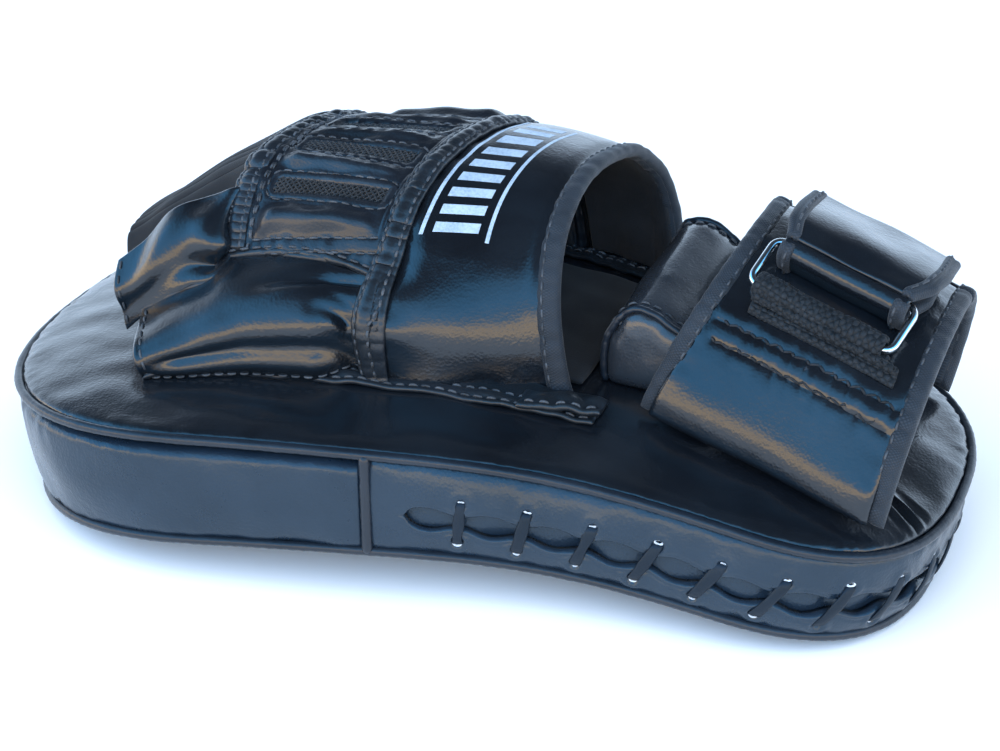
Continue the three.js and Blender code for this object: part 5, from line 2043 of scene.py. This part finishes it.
def strap_line(x):
    """From its end sewn on the far wing, over the cuff and under the ring's bar, to the top of the fold."""
    degrees = np.linspace(FAR_WING_END + STRAP_LAP, 82, 20)
    offset = WING / 2 + GAP + STRAP_THICKNESS / 2 + 0.3 + 1.7 * smooth((degrees - FAR_WING_END + 6) / 9)
    over = over_cuff(x, degrees, offset)
    fold = fold_point(x, np.linspace(-86, FOLD_TURN, 26), FOLD_RADIUS)
    return np.concatenate([over, fold])


def tail_line(x):
    """From the fold, where the tail is as narrow as the strap, over the ring's bar and back over the cuff."""
    share = np.linspace(0, 1, 16)[1:]
    degrees = lerp(RING_HIGH_ANGLE + 2.5, TAIL_END, share)
    offset = TAIL_OFFSET + lerp(5, 0, smooth(share * 1.1))
    across = (x - TAIL_X0) / (TAIL_X1 - TAIL_X0)
    narrow = lerp(STRAP_X0, STRAP_X1, across)
    start = fold_point(narrow, np.linspace(FOLD_TURN + 2, 94, 3), FOLD_RADIUS)
    return np.concatenate([start, over_cuff(lerp(narrow, x, smooth(share * 2.2)), degrees, offset)])


def webbing_line(x):
    lift = WING / 2 + GAP + WEBBING_THICKNESS / 2 + 0.5
    flat = over_cuff(x, np.linspace(WEBBING_START, 50.5, 5), lift)
    turn = np.radians(np.linspace(-80, 175, 22))
    wrap = in_ring(x - RING_LOW_X, WEBBING_ROLL * np.cos(turn), WEBBING_ROLL * np.sin(turn) + 0.5)
    outer_lift = lift + np.array([WEBBING_THICKNESS + 1.6, WEBBING_THICKNESS + 0.2])
    back = over_cuff(x, np.array([50.3, 49.2]), outer_lift)
    return np.concatenate([flat, wrap, back])


def add_webbing():
    base = strap_patch(WEBBING_X0, WEBBING_X1, webbing_line, passes=3, count=60)
    width = WEBBING_X1 - WEBBING_X0
    length = run_along(webbing_line(98.0))[-1]

    def weave(u, v):
        a, b = u * length, v * width
        pitch = 3.3
        braid = np.sin(2 * np.pi * (a + b) / pitch) * np.sin(2 * np.pi * (a - b) / pitch)
        return 0.2 * braid + 0.05 * ripples(a, b, 2.2, 111) + 0.3 * ripples(a, b, 16, 112)

    skin = lifted(base, weave)
    piece = slab("webbing_band", "webbing", skin, (0, 1), (0, 1), (130, 130), 0.85)
    place(piece, "woven_webbing", ["webbing_loop"])
    declare_sheet(piece)


def under_row(surface, u, v, lift):
    """A row of places on the other face of a surface."""
    row = row_on(surface, u, v, -lift)
    row[:, 3:] = -row[:, 3:]
    return row


def add_edge_tape(name, base, near, width, half, body, node, u_span, seed):
    """Woven tape folded over one long edge of a strap; near says whether the edge is at v 0."""
    span = np.linalg.norm(base(0.5, 1.0) - base(0.5, 0.0))
    share = width / span
    v_span = (-0.012, share) if near else (1 - share, 1.012)
    row_v = share - 1.3 / span if near else 1 - share + 1.3 / span
    roll_v = 0.4 * share if near else 1 - 0.4 * share

    def relief(u, v):
        return 0.3 * bell((v - roll_v) * span, 1.6) - 0.4 * bell((v - row_v) * span, 0.6)

    skin = lifted(base, relief)
    piece = slab(name, "tape", skin, u_span, v_span, (120, 16), half, edge=1.6)
    place(piece, "binding_tape", [node] if node else [], body)
    sweep = np.linspace(lerp(*u_span, 0.04), lerp(*u_span, 0.97), 260)
    rows = [under_row(skin, sweep, row_v, half)]
    if body == "root":
        rows.append(row_on(skin, sweep, row_v, half))
    return [running_stitches(row, pitch=4.2, length=3.0, thread=0.38, seed=seed) for row in rows]


def add_strap():
    base = strap_patch(STRAP_X0, STRAP_X1, strap_line, passes=3, count=90)
    skin = lifted(base, lambda u, v: 0.25 * ripples(u * 50, v * 38, 20, 121))
    piece = slab("strap_leather", "leather", skin, (0, 1), (0, 1), (120, 60), STRAP_THICKNESS / 2 - 0.1)
    place(piece, "glossy_leather", ["closure_strap"])
    declare_sheet(piece)
    rows = []
    for near, name, seed in ((True, "strap_left_tape", 122), (False, "strap_right_tape", 123)):
        rows.extend(add_edge_tape(name, base, near, TAIL_BINDING, 1.55, "root", None, (0, 0.985), seed))
    for u in (0.04, 0.13):
        rows.append(running_stitches(row_on(skin, u, np.linspace(0.15, 0.85, 90), 0.95), seed=128))
    sew("stitches_strap", rows, slot="binding_tape")


def add_tail():
    base = strap_patch(TAIL_X0, TAIL_X1, tail_line, passes=2, count=44)

    def relief(u, v):
        return 0.25 * ripples(u * 36, v * 42, 22, 124)

    def padding(u, v):
        across = np.clip(np.sin(np.pi * np.clip(v, 0, 1)), 0, 1) ** 0.5
        return across * smooth((1 - u) * 9) * smooth(u * 3)

    skin = lifted(base, relief)
    looks = ("lining", "leather")
    piece = slab("tail_leather", looks, skin, (0, 1), (0.02, 0.98), (110, 90), 1.15, puff=padding)
    place(piece, "glossy_leather", ["strap_tail"], "tail")
    rows = []
    for near, edge, seed in ((True, "left", 125), (False, "right", 126)):
        name, node = "tail_%s_tape" % edge, "tail_%s_binding" % edge
        rows.extend(add_edge_tape(name, base, near, TAIL_BINDING, 1.75, "tail", node, (0, 1), seed))
    sew("stitches_tail", rows, body="tail", slot="binding_tape")


def add_patches():
    low = WING / 2 + GAP + STRAP_THICKNESS + 0.3 + GAP
    thickness = 1.0
    for name, look, lift, body, seed in (
        ("loop_pile", "loops", low + 0.5 * thickness, "root", 131),
        ("hook_field", "hooks", low + 1.5 * thickness + GAP, "tail", 132),
    ):
        skin = lifted(cuff, lambda x, v, lift=lift, seed=seed: lift + 0.12 * ripples(x, v, 1.8, seed))
        x_span = (STRAP_X0 + 5, STRAP_X1 - 5)
        piece = slab(name, look, skin, x_span, (90, 101), (60, 26), thickness / 2)
        place(piece, "hook_and_loop", [name.split("_")[0] + "_patch"], body)


def finish_cad_nodes():
    """The foam blocks inside stay as CAD nodes, with a foam material."""
    for node in ("strike_foam", "core_foam", "back_foam", "bolster_foam"):
        mesh = frame["nodes"][node].data
        mesh.materials.clear()
        mesh.materials.append(MATERIALS["foam"])


add_pad()
add_near_strip()
add_far_strip()
add_palm_panel()
add_hand_cover()
add_band("band_knuckles", "knuckle_seam_band", knuckle_line, KNUCKLE_X, 0.5, 141, lambda v: 0.25)
add_finger_cover()
add_band(
    "band_finger_end",
    "finger_end_band",
    hand,
    FINGER_COVER_X - 0.4 - BAND_WIDTH / 2,
    TRIM_LOW,
    151,
    lambda v: 0.3 + 0.8 * bell(v - 62, 10),
)
add_near_panel()
add_far_panel()
add_flap()
add_thumb()
add_bolster()
near_wing = add_wing("near", near_wing_relief, 1, NEAR_WING_END, 161)
add_wing("far", far_wing_relief, FAR_WING_END, 179, 171)
add_zigzag(near_wing)
add_ring()
add_webbing()
add_strap()
add_tail()
add_patches()
finish_cad_nodes()
